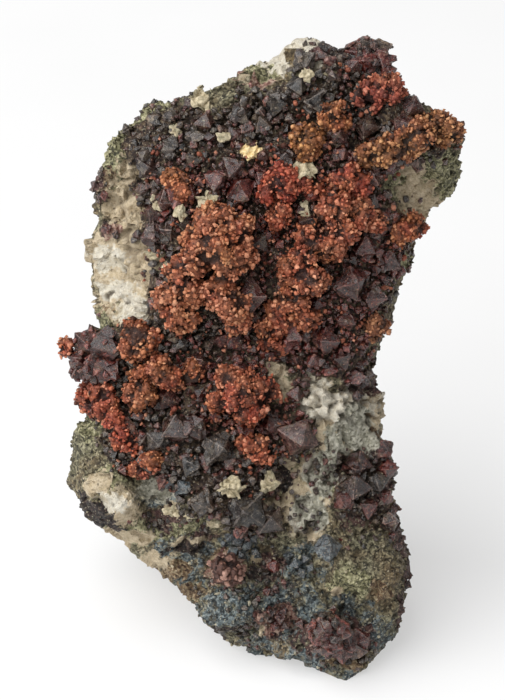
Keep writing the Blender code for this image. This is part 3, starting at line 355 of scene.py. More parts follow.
def seen_at(point):
    """Layout (u, v, w) of a world position in millimetres."""
    away = point - FACE_CENTRE
    w = away.dot(OUT)
    shrink = (EYE_DISTANCE - w) / EYE_DISTANCE
    return away.dot(RIGHT) / shrink, away.dot(UP) / shrink, w


def smooth_step(low, high, value):
    share = min(1.0, max(0.0, (value - low) / (high - low)))
    return share * share * (3.0 - 2.0 * share)


def stray(dice, reach):
    """Random vector with each part between -reach and reach."""
    return Vector([dice.uniform(-reach, reach) for _ in range(3)])


def mesh_from(body, name):
    """Mesh of a body, which is freed."""
    mesh = bpy.data.meshes.new(name)
    body.to_mesh(mesh)
    body.free()
    return mesh


def move_points(points, spots):
    for point, spot in zip(points, spots):
        point.co = spot


def in_scene(name, data):
    item = bpy.data.objects.new(name, data)
    bpy.context.collection.objects.link(item)
    return item


def smooth_over(mesh, sharpest):
    """Smooth faces, with edges left sharp above an angle in degrees."""
    mesh.shade_smooth()
    mesh.set_sharp_from_angle(angle=math.radians(sharpest))


def merged_copy(node):
    """Mesh of a node in millimetres, its loose triangles joined."""
    body = bmesh.new()
    body.from_mesh(frame["nodes"][node].data)
    bmesh.ops.remove_doubles(body, verts=body.verts[:], dist=1e-6)
    bmesh.ops.scale(body, vec=(1.0 / MM,) * 3, verts=body.verts[:])
    mesh = mesh_from(body, node + "_copy")
    mesh.materials.clear()
    return mesh


def surface_tree(mesh):
    """Search tree over a mesh, for rays."""
    return BVHTree.FromPolygons([v.co[:] for v in mesh.vertices], [p.vertices[:] for p in mesh.polygons])


def evaluated(item, name):
    """Plain mesh of an object with its modifiers applied; the object is removed."""
    graph = bpy.context.evaluated_depsgraph_get()
    mesh = bpy.data.meshes.new_from_object(item.evaluated_get(graph))
    mesh.name = name
    bpy.data.objects.remove(item, do_unlink=True)
    return mesh


def remeshed(mesh, voxel, smoothing):
    """Even fine mesh over a closed shape."""
    item = in_scene("to_remesh", mesh)
    even = item.modifiers.new("even", "REMESH")
    even.mode = "VOXEL"
    even.voxel_size = voxel
    if smoothing:
        ease = item.modifiers.new("ease", "SMOOTH")
        ease.iterations = smoothing
        ease.factor = 0.5
    return evaluated(item, mesh.name + "_fine")


def wander(point):
    """Smooth vector that changes from place to place, each part of it between -1 and 1."""
    return Vector([noise.noise(point + shift) for shift in WANDER_SHIFTS])


def chips(point, size, tilt):
    """Height of flat chips that meet in low steps, as on broken rock."""
    spot = point / size
    nearest = noise.voronoi(spot)[1][0]
    lean = wander(nearest * 3.7)
    step = noise.noise(nearest * 5.3)
    return tilt * (lean.dot(spot - nearest) + 0.45 * step)


def layered(point, size):
    """Broad noise with finer and finer ones on it."""
    fine = 0.55 * noise.noise(point * (3.1 / size)) + 0.35 * noise.noise(point * (8.3 / size))
    return noise.noise(point / size) + fine


def patch_share(patches, u, v):
    """How far a layout point lies inside the nearest of some patches, from 0 to 1."""
    best = 0.0
    for mid_u, mid_v, half_u, half_v in patches:
        away = math.hypot((u - mid_u) / half_u, (v - mid_v) / half_v)
        best = max(best, 1.25 - 0.7 * away)
    return min(1.0, max(0.0, best))


def add_piece(name, mesh, slot, *nodes):
    """A finished piece in metres that rides on the specimen."""
    mesh.transform(Matrix.Scale(MM, 4))
    mesh.name = name
    piece = in_scene(name, mesh)
    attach(piece, "root")
    if nodes:
        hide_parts(*nodes)
    return piece


def feed(tree, socket, value):
    """Links a socket to another, or sets its value."""
    if isinstance(value, bpy.types.NodeSocket):
        tree.links.new(value, socket)
    else:
        socket.default_value = value


def add_node(tree, kind, inputs, **settings):
    """A node with its settings, and its inputs given by name or number. Returns its outputs."""
    node = tree.nodes.new(kind)
    for key, value in settings.items():
        setattr(node, key, value)
    for key, value in inputs.items():
        feed(tree, node.inputs[key], value)
    return node.outputs


class Paint:
    """A material whose nodes are added one by one. Sizes are in millimetres."""

    def __init__(self, name):
        self.material = bpy.data.materials.new(name)
        self.material.use_nodes = True
        self.tree = self.material.node_tree
        self.spot = self.add("ShaderNodeTexCoord", {})["Object"]

    def add(self, kind, inputs, **settings):
        return add_node(self.tree, kind, inputs, **settings)

    def noise(self, size, detail=4.0, roughness=0.6, distortion=0.0):
        return self.add("ShaderNodeTexNoise", {
            "Vector": self.spot, "Scale": 1.0 / (size * MM), "Detail": detail, "Roughness": roughness,
            "Distortion": distortion,
        })["Fac"]

    def cells(self, size, output="Distance"):
        inputs = {"Vector": self.spot, "Scale": 1.0 / (size * MM)}
        return self.add("ShaderNodeTexVoronoi", inputs, feature="F1")[output]

    def cell_value(self, size):
        """An even value from 0 to 1 for each cell."""
        return self.add("ShaderNodeSeparateColor", {"Color": self.cells(size, "Color")})["Red"]

    def attribute(self, name):
        return self.add("ShaderNodeAttribute", {}, attribute_name=name)["Fac"]

    def ramp(self, value, stops):
        """Ramp through screen colours, each stop given as position, red, green, blue."""
        node = self.tree.nodes.new("ShaderNodeValToRGB")
        feed(self.tree, node.inputs["Fac"], value)
        elements = node.color_ramp.elements
        while len(elements) < len(stops):
            elements.new(0.5)
        for element, (position, *colour) in zip(elements, stops):
            element.position = position
            element.color = srgb(*colour)
        return node.outputs["Color"]

    def fit(self, value, low, high, new_low=0.0, new_high=1.0, smooth=False):
        inputs = {"Value": value, "From Min": low, "From Max": high, "To Min": new_low, "To Max": new_high}
        kind = "SMOOTHSTEP" if smooth else "LINEAR"
        return self.add("ShaderNodeMapRange", inputs, interpolation_type=kind)["Result"]

    def sum(self, first, second, operation="ADD"):
        return self.add("ShaderNodeMath", {0: first, 1: second}, operation=operation)["Value"]

    def times(self, first, second):
        return self.sum(first, second, "MULTIPLY")

    def mix(self, share, first, second, blend="MIX"):
        inputs = {"Factor": share, 6: first, 7: second}
        return self.add("ShaderNodeMix", inputs, data_type="RGBA", blend_type=blend)[2]

    def tinted(self, share, colour, red, green, blue):
        """The colour mixed with one screen colour."""
        return self.mix(share, colour, srgb(red, green, blue))

    def bump(self, height, depth, strength=1.0, under=None):
        inputs = {"Strength": strength, "Distance": depth * MM, "Height": height}
        if under is not None:
            inputs["Normal"] = under
        return self.add("ShaderNodeBump", inputs)["Normal"]

    def finish(self, colour, roughness, normal, **constants):
        shader = self.tree.nodes["Principled BSDF"].inputs
        feed(self.tree, shader["Base Color"], colour)
        feed(self.tree, shader["Roughness"], roughness)
        if normal is not None:
            feed(self.tree, shader["Normal"], normal)
        for name, value in constants.items():
            feed(self.tree, shader[name.replace("_", " ").title().replace("Ior", "IOR")], value)
        return self.material


def patch_rise(u, v):
    """How far the rock's face stands out at a layout point."""
    rise = 0.0
    for mid_u, mid_v, half_u, half_v, height in RAISED_PATCHES:
        away = math.hypot((u - mid_u) / half_u, (v - mid_v) / half_v)
        rise += height * smooth_step(1.15, 0.8, away)
    return rise


def ragged(paint, name, tear, grain):
    """Share of a finish that ends grain by grain, from its attribute, a noise and a value for each grain."""
    both = paint.sum(paint.attribute(name), paint.times(tear, 0.9))
    both = paint.sum(both, paint.times(grain, 0.3))
    return paint.fit(both, 0.94, 1.1, smooth=True)


def rock_paint():
    """Granular rock: olive grains, cream calcite, slate-blue, rust and maroon, with pits and cracks, and
    painted shade in the pits and along the grooves.
    """
    paint = Paint("rock")
    tone = paint.attribute("tone")
    fine = paint.noise(0.7, 8.0, 0.75)
    grain = paint.cell_value(0.75)
    tear = paint.noise(1.5, 8.0, 0.75)
    speck = paint.noise(0.35, 2.0, 0.5)
    mixed = paint.sum(paint.times(fine, 0.62), paint.times(paint.cell_value(0.4), 0.38))
    base = paint.mix(paint.fit(paint.noise(6.0, 5.0, 0.65), 0.42, 0.62), paint.ramp(mixed, OLIVE),
                     paint.ramp(mixed, TAN))
    slate = paint.mix(paint.fit(paint.noise(2.4, 6.0, 0.7), 0.48, 0.6), paint.ramp(mixed, SLATE), base)
    cream = paint.mix(ragged(paint, "white", tear, grain), paint.ramp(fine, CREAM), paint.ramp(fine, WHITE))
    crack = paint.fit(paint.noise(3.4, 3.0, 0.5, 1.2), 0.495, 0.505, 0.0, 1.0)
    crack = paint.times(crack, paint.sum(1.0, crack, "SUBTRACT"))
    cream = paint.tinted(paint.times(crack, 3.0), cream, 112, 92, 64)
    streak = paint.fit(paint.noise(3.2, 6.0, 0.7, 0.6), 0.5, 0.66, 0.0, 0.55)
    cream = paint.tinted(streak, cream, 184, 166, 128)
    colour = paint.mix(ragged(paint, "green", tear, grain), base, paint.ramp(mixed, GREEN))
    colour = paint.mix(ragged(paint, "slate", tear, grain), colour, slate)
    for name, stops in (("rust", RUST), ("maroon", MAROON)):
        colour = paint.mix(ragged(paint, name, tear, grain), colour, paint.ramp(mixed, stops))
    stain = paint.fit(paint.noise(0.5, 3.0, 0.6), 0.34, 0.44, 0.45, 0.0)
    colour = paint.tinted(stain, colour, 62, 54, 42)
    colour = paint.tinted(paint.fit(speck, 0.3, 0.4, 0.5, 0.0), colour, 36, 32, 26)
    cream = paint.tinted(paint.fit(speck, 0.28, 0.36, 0.35, 0.0), cream, 92, 78, 54)
    colour = paint.mix(ragged(paint, "cream", tear, grain), colour, cream)
    # The finish named dark is painted shade along the grooves and under the ledges; the others are the
    # rock's own colours
    for name, stops in (("pink", PINK), ("vein", VEIN), ("dark", GROOVE_SHADE), ("crust", CRUST)):
        colour = paint.mix(ragged(paint, name, tear, grain), colour, paint.ramp(mixed, stops))
    colour = paint.tinted(paint.fit(speck, 0.62, 0.7, 0.0, 0.75), colour, 226, 216, 186)
    colour = paint.tinted(paint.fit(tone, 0.86, 0.9, 0.0, 0.7), colour, 214, 202, 170)
    shade = paint.mix(tone, srgb(150, 146, 138), srgb(255, 255, 255))
    colour = paint.mix(1.0, colour, shade, "MULTIPLY")
    # Painted shade: pits and the gaps between knobs are darkened by how deep they lie
    hollow = paint.fit(paint.attribute("hollow"), 0.0, 1.0, 0.0, 0.8)
    colour = paint.mix(hollow, colour, srgb(88, 74, 56), "MULTIPLY")
    bumps = paint.bump(paint.noise(0.9, 9.0, 0.8), 0.5)
    bumps = paint.bump(paint.cells(0.55), 0.2, 0.9, bumps)
    return paint.finish(colour, paint.fit(fine, 0.3, 0.7, 0.5, 0.9), bumps)


def crystal_paint():
    """Dark cuprite: grey, brown and maroon faces, etched and dusty, with a dull metallic sheen, and painted
    highlights on the faces and bevelled edges.
    """
    paint = Paint("cuprite_faces")
    tone = paint.attribute("tone")
    warm = paint.attribute("warm")
    hue = paint.sum(paint.times(tone, 7.31), 0.0, "FRACT")
    redness = paint.sum(paint.times(tone, 13.7), 0.0, "FRACT")
    etched = paint.noise(0.8, 8.0, 0.75)
    grey = paint.ramp(etched, CRYSTAL_GREY)
    colour = paint.mix(paint.fit(hue, 0.4, 0.8), grey, paint.ramp(etched, CRYSTAL_BROWN))
    share = paint.sum(warm, paint.times(paint.noise(5.0, 4.0, 0.6), 0.7))
    share = paint.sum(share, paint.times(redness, 0.75))
    colour = paint.mix(paint.fit(share, 0.75, 1.1), colour, paint.ramp(etched, CRYSTAL_RED))
    colour = paint.mix(paint.attribute("cool"), colour, paint.ramp(etched, CRYSTAL_BLUE))
    shade = paint.mix(tone, srgb(118, 116, 116), srgb(255, 255, 255))
    colour = paint.mix(1.0, colour, shade, "MULTIPLY")
    # Painted highlight: each face brightened by a random amount and the bevelled edges most, with a pale
    # tint on the edges
    facet = paint.attribute("facet")
    colour = paint.mix(1.0, colour, paint.ramp(facet, FACET_HIGHLIGHTS), "MULTIPLY")
    colour = paint.tinted(paint.fit(facet, 0.8, 1.0, 0.0, 0.14), colour, 166, 150, 138)
    dust = paint.fit(paint.noise(1.7, 9.0, 0.78), 0.52, 0.62, 0.0, 0.4, smooth=True)
    colour = paint.tinted(dust, colour, 112, 100, 80)
    crumbs = paint.fit(paint.noise(0.36, 3.0, 0.6), 0.62, 0.68, 0.0, 0.8)
    colour = paint.mix(crumbs, colour, paint.mix(warm, srgb(168, 156, 138), srgb(172, 104, 74)))
    bumps = paint.bump(paint.noise(0.7, 8.0, 0.78), 0.2)
    return paint.finish(colour, paint.fit(etched, 0.36, 0.66, 0.12, 0.42), bumps, ior=1.75)


def copper_paint():
    """Tarnished native copper: satin grains from ochre through brown-orange to red, with painted shade in
    the gaps.
    """
    paint = Paint("copper_grains")
    tone = paint.attribute("tone")
    fine = paint.noise(0.45, 5.0, 0.7)
    # The tone runs from painted shade to painted highlight: low in the dips of the lumps, at random on each
    # bead
    colour = paint.ramp(tone, COPPER_BROWN)
    for name, stops in (("red", COPPER_RED), ("ochre", COPPER_OCHRE)):
        colour = paint.mix(paint.attribute(name), colour, paint.ramp(tone, stops))
    patina = paint.fit(paint.noise(2.6, 4.0, 0.6), 0.54, 0.66, 0.0, 0.35)
    dull = paint.sum(paint.attribute("dull"), patina, "MAXIMUM")
    colour = paint.mix(dull, colour, paint.ramp(tone, COPPER_DULL))
    colour = paint.mix(paint.fit(fine, 0.36, 0.56, 0.6, 0.0), colour, srgb(96, 48, 32), "MULTIPLY")
    colour = paint.tinted(paint.fit(fine, 0.58, 0.7, 0.0, 0.55), colour, 232, 168, 130)
    bumps = paint.bump(paint.noise(0.35, 6.0, 0.78), 0.16)
    return paint.finish(colour, paint.fit(fine, 0.3, 0.7, 0.36, 0.62), bumps, metallic=0.2)


def calcite_paint():
    """Cream to grey-green calcite, and the pale yellow of the star."""
    paint = Paint("calcite_pale")
    fine = paint.noise(0.7, 8.0, 0.75)
    green = paint.fit(paint.noise(1.6, 6.0, 0.75), 0.48, 0.6)
    colour = paint.tinted(green, paint.ramp(fine, FLAKE_GREY), 150, 143, 118)
    colour = paint.mix(paint.attribute("yellow"), colour, paint.ramp(fine, FLAKE_YELLOW))
    bumps = paint.bump(paint.noise(0.8, 8.0, 0.78), 0.3)
    return paint.finish(colour, paint.fit(fine, 0.3, 0.7, 0.35, 0.65), bumps)


rock_mesh = merged_copy("matrix_rock")
rock_rays = surface_tree(rock_mesh)
crust_rays = [surface_tree(merged_copy(node)) for node in CRUSTS]
copper_rays = [surface_tree(merged_copy(node)) for node in COPPER_TINTS]


def face_depth(u, v):
    """Depth of the rock's face where the eye sees it at (u, v), or None beside the rock."""
    aim = (place(u, v, 0.0) - EYE).normalized()
    hit = rock_rays.ray_cast(EYE, aim)[0]
    return None if hit is None else seen_at(hit)[2]


def front_depth(u, v):
    """Depth of the crust or rock that the eye meets first at (u, v)."""
    aim = (place(u, v, 0.0) - EYE).normalized()
    hits = [rays.ray_cast(EYE, aim)[0] for rays in [rock_rays, *crust_rays]]
    return max([seen_at(hit)[2] for hit in hits if hit is not None], default=0.0)


def copper_reach(spot):
    """Distance from a point to the nearest copper, at most the reach of the search."""
    found = [rays.find_nearest(spot, REACH)[3] for rays in copper_rays]
    return min([away for away in found if away is not None], default=REACH)


def under_crust(spot):
    """Whether a point on the rock's face lies under a crust of crystals."""
    return any(rays.ray_cast(spot, OUT, REACH)[0] is not None for rays in crust_rays)


def set_values(mesh, name, values):
    """Gives every point of a mesh a value under a name."""
    holder = mesh.attributes.new(name, "FLOAT", "POINT")
    holder.data.foreach_set("value", values)


# The share named dark stands for painted shade along the grooves and under the ledges, not a finish of the
# rock
FINISHES = {
    "cream": CREAM_PATCHES, "green": GREEN_PATCHES, "slate": SLATE_PATCHES, "rust": RUST_PATCHES,
    "maroon": MAROON_PATCHES, "white": WHITE_PATCHES, "pink": PINK_PATCHES, "vein": VEIN_PATCHES,
    "grit": GRIT_PATCHES, "knob": KNOB_PATCHES, "dark": GROOVE_SHADE_PATCHES, "mixed": MIXED_PATCHES,
}


def finish_shares(spot, facing, drift):
    """Share of each finish at a point: by patches in front, at random behind."""
    u, v, _ = seen_at(spot)
    u += drift.x
    v += drift.y
    behind = 1.0 - facing
    here = {name: facing * patch_share(patches, u, v) for name, patches in FINISHES.items()}
    here["crust"] = facing if under_crust(spot + drift * 1.5) else 0.0
    here["crust"] *= 1.0 - patch_share(BARE_PATCHES, u, v)
    here["cream"] += behind * smooth_step(0.2, 0.75, layered(spot, 11.0))
    here["rust"] += behind * smooth_step(0.1, 0.8, layered(spot + Vector((30.0, 90.0, 40.0)), 8.0))
    here["green"] += behind * smooth_step(0.2, 1.2, layered(spot + Vector((80.0, 20.0, 60.0)), 12.0))
    aloft = smooth_step(1.2, 2.4, spot.z)
    here["grow"] = aloft * (1.0 - here["crust"]) * (0.2 + 0.6 * here["grit"]) * (1.0 - 0.85 * here["cream"])
    here["mixed"] *= aloft * (1.0 - here["crust"])
    return here


def broken_relief(spot, behind, here, drift):
    """Height of chips, grit, knobs and pits at a point, and how deep in a pit it is, which is also used as
    painted shade.
    """
    rough = chips(spot, 5.5, 3.0) + chips(spot, 2.1, 1.1) - 0.45
    rough += behind * (1.4 * noise.noise(spot / 12.0) + chips(spot, 9.0, 2.6) - 0.8)
    rough += 0.42 * noise.noise(spot / 0.85) * (1.0 + here["grit"])
    warped = spot + wander(spot / 1.5) * 0.7
    bulge = 1.0 - noise.voronoi(warped / 1.7)[0][0] / 0.55
    rough += 1.3 * here["knob"] * max(-0.6, bulge)
    # Pits and the low ground between knobs sink the face, and their depth is also painted in as shade
    pit = smooth_step(0.4, 0.66, noise.noise(spot / 1.3 + Vector((7.0, 3.0, 1.0)) + drift * 0.3))
    pit = max(pit, here["knob"] * smooth_step(0.1, -0.35, bulge))
    return rough - 0.7 * pit, pit


def rock_shape():
    """The rock with chips, knobs and pits in millimetres, the share of each finish at every point, and the
    painted shade of its pits.
    """
    mesh = remeshed(rock_mesh.copy(), ROCK_VOXEL, 1)
    shares = {name: [] for name in [*FINISHES, "crust", "hollow", "grow"]}
    moves = []
    for vert in mesh.vertices:
        spot = vert.co.copy()
        facing = smooth_step(-0.25, 0.1, vert.normal.dot(OUT))
        drift = wander(spot / 2.6) * 1.3
        here = finish_shares(spot, facing, drift)
        rough, here["hollow"] = broken_relief(spot, 1.0 - facing, here, drift)
        for name, value in here.items():
            shares[name].append(value)
        u, v, _ = seen_at(spot)
        fade = smooth_step(0.0, 1.6, spot.z)
        rise = facing * fade * patch_rise(u + 0.5 * drift.x, v + 0.5 * drift.y)
        rise += CRUST_RISE * here["crust"]
        moves.append(spot + vert.normal * (0.8 * rough * fade) + OUT * rise)
    move_points(mesh.vertices, moves)
    for vert in mesh.vertices:
        if vert.co.z < 0.0:
            vert.co.z = 0.0
    for name, values in shares.items():
        set_values(mesh, name, values)
    set_values(mesh, "tone", [0.7] * len(moves))
    smooth_over(mesh, ROCK_SHARP)
    return mesh


def rock_ground(mesh, grow):
    """Copy of the rock for sowing, with one of its shares as where things grow."""
    ground = mesh.copy()
    spread = [0.0] * len(ground.vertices)
    ground.attributes[grow].data.foreach_get("value", spread)
    ground.attributes["grow"].data.foreach_set("value", spread)
    ground.attributes.remove(ground.attributes["tone"])
    return ground


def rock_pieces(tree, octahedra, paint, crystal):
    """The rock, the grit on it and the small crystals that lie on it here and there."""
    mesh = rock_shape()
    grains = shape_set("grit", [grit_shape] * 6)
    grit = sown_mesh(rock_ground(mesh, "grow"), tree, grains, GRIT, GRIT_SEED, paint)
    drop_shapes(grains)
    loose = sown_mesh(rock_ground(mesh, "mixed"), tree, octahedra, LOOSE_CRYSTALS, LOOSE_SEED, crystal)
    mesh.materials.append(paint)
    add_piece("matrix_surface", mesh, "matrix", "matrix_rock")
    add_sown("matrix_grit", grit, "matrix")
    add_sown("loose_crystals", loose, "cuprite")


def random_turn(dice):
    """Even random rotation, the same as on the solids."""
    a, b, c = (dice.random() for _ in range(3))
    turn = Matrix.Rotation(2.0 * math.pi * a, 4, "Z")
    turn = Matrix.Rotation(math.acos(2.0 * b - 1.0), 4, "Y") @ turn
    return Matrix.Rotation(2.0 * math.pi * c, 4, "Z") @ turn


def octahedron_shape(radius, bevel, dice):
    """Octahedron with narrow worn edges and faces at slightly uneven distances; the edges get the most
    painted highlight and each broad face a random amount.
    """
    body = bmesh.new()
    corners = []
    for axis in range(3):
        for sign in (1.0, -1.0):
            corner = Vector((0.0, 0.0, 0.0))
            corner[axis] = sign * radius * dice.uniform(0.94, 1.04)
            corners.append(body.verts.new(corner))
    for x in (0, 1):
        for y in (2, 3):
            for z in (4, 5):
                order = (corners[x], corners[y], corners[z])
                body.faces.new(order if (x + y + z) % 2 == 0 else order[::-1])
    bmesh.ops.recalc_face_normals(body, faces=body.faces[:])
    bmesh.ops.bevel(body, geom=body.edges[:], offset=bevel, segments=1, affect="EDGES", profile=0.5)
    # Painted highlight for each face: the most on the narrow bevels, a random amount on the broad faces
    facet = body.faces.layers.float.new("facet")
    widest = max(face.calc_area() for face in body.faces)
    for face in body.faces:
        edge_highlight_face = face.calc_area() < 0.45 * widest
        face[facet] = 1.0 if edge_highlight_face else dice.uniform(0.0, 0.7)
    return body


def worn_crystal(radius, dice):
    """Large octahedron with growth steps, etched faces and a few chipped edges."""
    body = octahedron_shape(radius, 0.03 * radius, dice)
    bmesh.ops.subdivide_edges(body, edges=body.edges[:], cuts=5, use_grid_fill=True)
    body.normal_update()
    shift = stray(dice, 90.0)
    wear = dice.choice((0.14, 0.22, 0.3, 0.38))
    moves = []
    for vert in body.verts:
        spot = vert.co + shift
        rough = chips(spot, 0.7 * radius, wear * radius) + chips(spot, 0.28 * radius, 0.4 * wear * radius)
        rough += 0.04 * radius * noise.noise(spot / 0.35)
        moves.append(vert.co + vert.normal * rough)
    move_points(body.verts, moves)
    return body


def merge_shape(body, shape):
    """Adds a shape to a body and frees it; returns how many points came in."""
    part = mesh_from(shape, "part")
    body.from_mesh(part)
    count = len(part.vertices)
    bpy.data.meshes.remove(part)
    return count


def crystal_piece(name, placed, group, paint, warm, cool, tones, nodes):
    """Worn octahedra at (centre, radius), each with its own tone."""
    body = bmesh.new()
    values = {"tone": [], "warm": [], "cool": []}
    for index, (centre, radius) in enumerate(placed):
        dice = random.Random(GROUP_STEP * group + index)
        turn = random_turn(dice)
        shape = worn_crystal(radius * CRYSTAL_GROWTH, dice)
        bmesh.ops.transform(shape, matrix=Matrix.Translation(centre) @ turn, verts=shape.verts[:])
        count = merge_shape(body, shape)
        redness = warmth_at(centre) if warm is None else warm
        values["tone"] += [dice.uniform(*tones)] * count
        values["warm"] += [redness + dice.uniform(-0.2, 0.2)] * count
        values["cool"] += [cool] * count
    mesh = mesh_from(body, name)
    for kind, numbers in values.items():
        set_values(mesh, kind, numbers)
    smooth_over(mesh, CRYSTAL_SHARP)
    mesh.materials.append(paint)
    return add_piece(name, mesh, "cuprite", *nodes)


def on_face(crystals, lift):
    """Centres of crystals that stand on the rock's face, raised by a share of their radius."""
    placed = []
    for u, v, radius in crystals:
        depth = face_depth(u, v)
        if depth is not None:
            placed.append((place(u, v, depth + lift * radius), radius))
    return placed


def in_space(crystals):
    """Centres of crystals whose depth is given."""
    return [(place(u, v, w), radius) for u, v, w, radius in crystals]


def warmth_at(centre):
    """How red the crystals are: most where copper lies among them."""
    u, v, _ = seen_at(centre)
    return patch_share(WARM_PATCHES, u, v)


def bead_shape(dice):
    """Lumpy bead of 48 triangles, about 1 mm in radius."""
    body = bmesh.new()
    bmesh.ops.create_cube(body, size=2.0)
    bmesh.ops.subdivide_edges(body, edges=body.edges[:], cuts=1, use_grid_fill=True)
    shift = stray(dice, 9.0)
    for vert in body.verts:
        vert.co = vert.co.normalized() * (1.0 + 0.7 * noise.noise(1.3 * vert.co.normalized() + shift))
    for face in body.faces:
        face.smooth = True
    return body


def grit_shape(dice):
    """Angular grain of about 20 flat faces."""
    body = bmesh.new()
    for _ in range(12):
        away = Vector((dice.gauss(0.0, 1.0), dice.gauss(0.0, 1.0), dice.gauss(0.0, 1.0))).normalized()
        body.verts.new(away * dice.uniform(0.8, 1.1))
    bmesh.ops.convex_hull(body, input=body.verts[:])
    loose = [vert for vert in body.verts if not vert.link_faces]
    bmesh.ops.delete(body, geom=loose, context="VERTS")
    # Each face gets a random amount of painted highlight, which the crystal paint reads
    facet = body.faces.layers.float.new("facet")
    for face in body.faces:
        face[facet] = dice.uniform(0.0, 0.8)
    return body


def single_shape(dice):
    return octahedron_shape(1.0, 0.12, dice)


def blunt_shape(dice):
    return octahedron_shape(1.05, 0.2, dice)


def stepped_shape(dice):
    """Parallel growth: an octahedron with two smaller ones set off along it."""
    body = octahedron_shape(0.9, 0.06, dice)
    for size in (0.62, 0.48):
        step = octahedron_shape(size, 0.04, dice)
        bmesh.ops.translate(step, vec=stray(dice, 1.0).normalized() * 0.5, verts=step.verts[:])
        merge_shape(body, step)
    return body


def twin_shape(dice):
    """Two octahedra grown through each other."""
    body = octahedron_shape(0.9, 0.06, dice)
    other = octahedron_shape(0.7, 0.05, dice)
    push = Matrix.Translation((0.5, 0.25, 0.1))
    bmesh.ops.transform(other, matrix=push @ random_turn(dice), verts=other.verts[:])
    merge_shape(body, other)
    return body


def shape_set(name, makers):
    """Collection of a few shapes to be repeated."""
    dice = random.Random(len(name))
    group = bpy.data.collections.new(name)
    bpy.context.scene.collection.children.link(group)
    for index, make in enumerate(makers):
        body = make(dice)
        bmesh.ops.scale(body, vec=(MM,) * 3, verts=body.verts[:])
        group.objects.link(bpy.data.objects.new(f"{name}_{index}", mesh_from(body, name)))
    return group


def drop_shapes(group):
    for item in list(group.objects):
        bpy.data.objects.remove(item, do_unlink=True)
    bpy.data.collections.remove(group)


SOWING_INPUTS = {
    "Shapes": "Collection", "Spacing": "Float", "Density": "Float", "Smallest": "Float", "Largest": "Float",
    "Lift": "Float", "Seed": "Int", "Finish": "Material", "Keep Ground": "Bool",
}


def sowing_tree():
    """Node tree that sows shapes over a ground where its attribute grow is above zero."""
    tree = bpy.data.node_groups.new("sowing", "GeometryNodeTree")
    face = tree.interface
    face.new_socket("Geometry", in_out="INPUT", socket_type="NodeSocketGeometry")
    for name, kind in SOWING_INPUTS.items():
        face.new_socket(name, in_out="INPUT", socket_type="NodeSocket" + kind)
    face.new_socket("Geometry", in_out="OUTPUT", socket_type="NodeSocketGeometry")
    given = add_node(tree, "NodeGroupInput", {})
    seed = given["Seed"]

    def put(kind, inputs, **settings):
        return add_node(tree, kind, inputs, **settings)

    def chance(inputs, kind="FLOAT"):
        return put("FunctionNodeRandomValue", inputs, data_type=kind)

    grow = put("GeometryNodeInputNamedAttribute", {"Name": "grow"}, data_type="FLOAT")
    sown = put("GeometryNodeDistributePointsOnFaces", {
        "Mesh": given["Geometry"], "Distance Min": given["Spacing"], "Density Max": given["Density"],
        "Density Factor": grow["Attribute"], "Seed": seed,
    }, distribute_method="POISSON")

    share = chance({2: -0.4, "Seed": seed})[1]
    rise = put("ShaderNodeMath", {0: given["Lift"], 1: share}, operation="MULTIPLY")["Value"]
    step = put("ShaderNodeVectorMath", {0: sown["Normal"], "Scale": rise}, operation="SCALE")["Vector"]
    raised = put("GeometryNodeSetPosition", {"Geometry": sown["Points"], "Offset": step})

    shapes = put("GeometryNodeCollectionInfo", {
        "Separate Children": True, "Reset Children": True, "Collection": given["Shapes"],
    })
    turn = chance({"Max": (2.0 * math.pi,) * 3, "Seed": seed}, "FLOAT_VECTOR")["Value"]
    turned = put("FunctionNodeEulerToRotation", {"Euler": turn})
    size = chance({2: given["Smallest"], 3: given["Largest"], "Seed": seed})[1]
    stretch = chance({"Min": (0.65,) * 3, "Max": (1.3,) * 3}, "FLOAT_VECTOR")["Value"]
    stretched = put("ShaderNodeVectorMath", {0: stretch, "Scale": size}, operation="SCALE")
    set_out = put("GeometryNodeInstanceOnPoints", {
        "Pick Instance": True, "Points": raised["Geometry"], "Instance": shapes["Instances"],
        "Instance Index": chance({5: 7}, "INT")[2], "Rotation": turned["Rotation"],
        "Scale": stretched["Vector"],
    })
    toned = put("GeometryNodeStoreNamedAttribute", {
        "Name": "tone", "Geometry": set_out["Instances"], "Value": chance({})[1],
    }, data_type="FLOAT", domain="INSTANCE")

    ground = put("GeometryNodeSwitch", {"Switch": given["Keep Ground"], "True": given["Geometry"]},
                 input_type="GEOMETRY")
    joined = tree.nodes.new("GeometryNodeJoinGeometry")
    for part in (toned["Geometry"], ground["Output"]):
        feed(tree, joined.inputs["Geometry"], part)
    real = put("GeometryNodeRealizeInstances", {"Geometry": joined.outputs["Geometry"]})
    dressed = put("GeometryNodeSetMaterial", {"Geometry": real["Geometry"], "Material": given["Finish"]})
    put("NodeGroupOutput", {"Geometry": dressed["Geometry"]})
    return tree


def sown_mesh(ground, tree, shapes, setting, seed, finish, keep_ground=False):
    """Shapes sown over a ground mesh. The ground is in millimetres, the result in metres."""
    spacing, (smallest, largest), lift = setting
    ground.transform(Matrix.Scale(MM, 4))
    item = in_scene("ground", ground)
    sowing = item.modifiers.new("sowing", "NODES")
    sowing.node_group = tree
    values = {
        "Shapes": shapes, "Spacing": spacing * MM, "Density": 3.0 / (spacing * MM) ** 2,
        "Smallest": smallest, "Largest": largest, "Lift": lift * MM, "Seed": seed, "Finish": finish,
        "Keep Ground": keep_ground,
    }
    for socket in tree.interface.items_tree:
        if socket.name in values:
            sowing[socket.identifier] = values[socket.name]
    return evaluated(item, "sown")


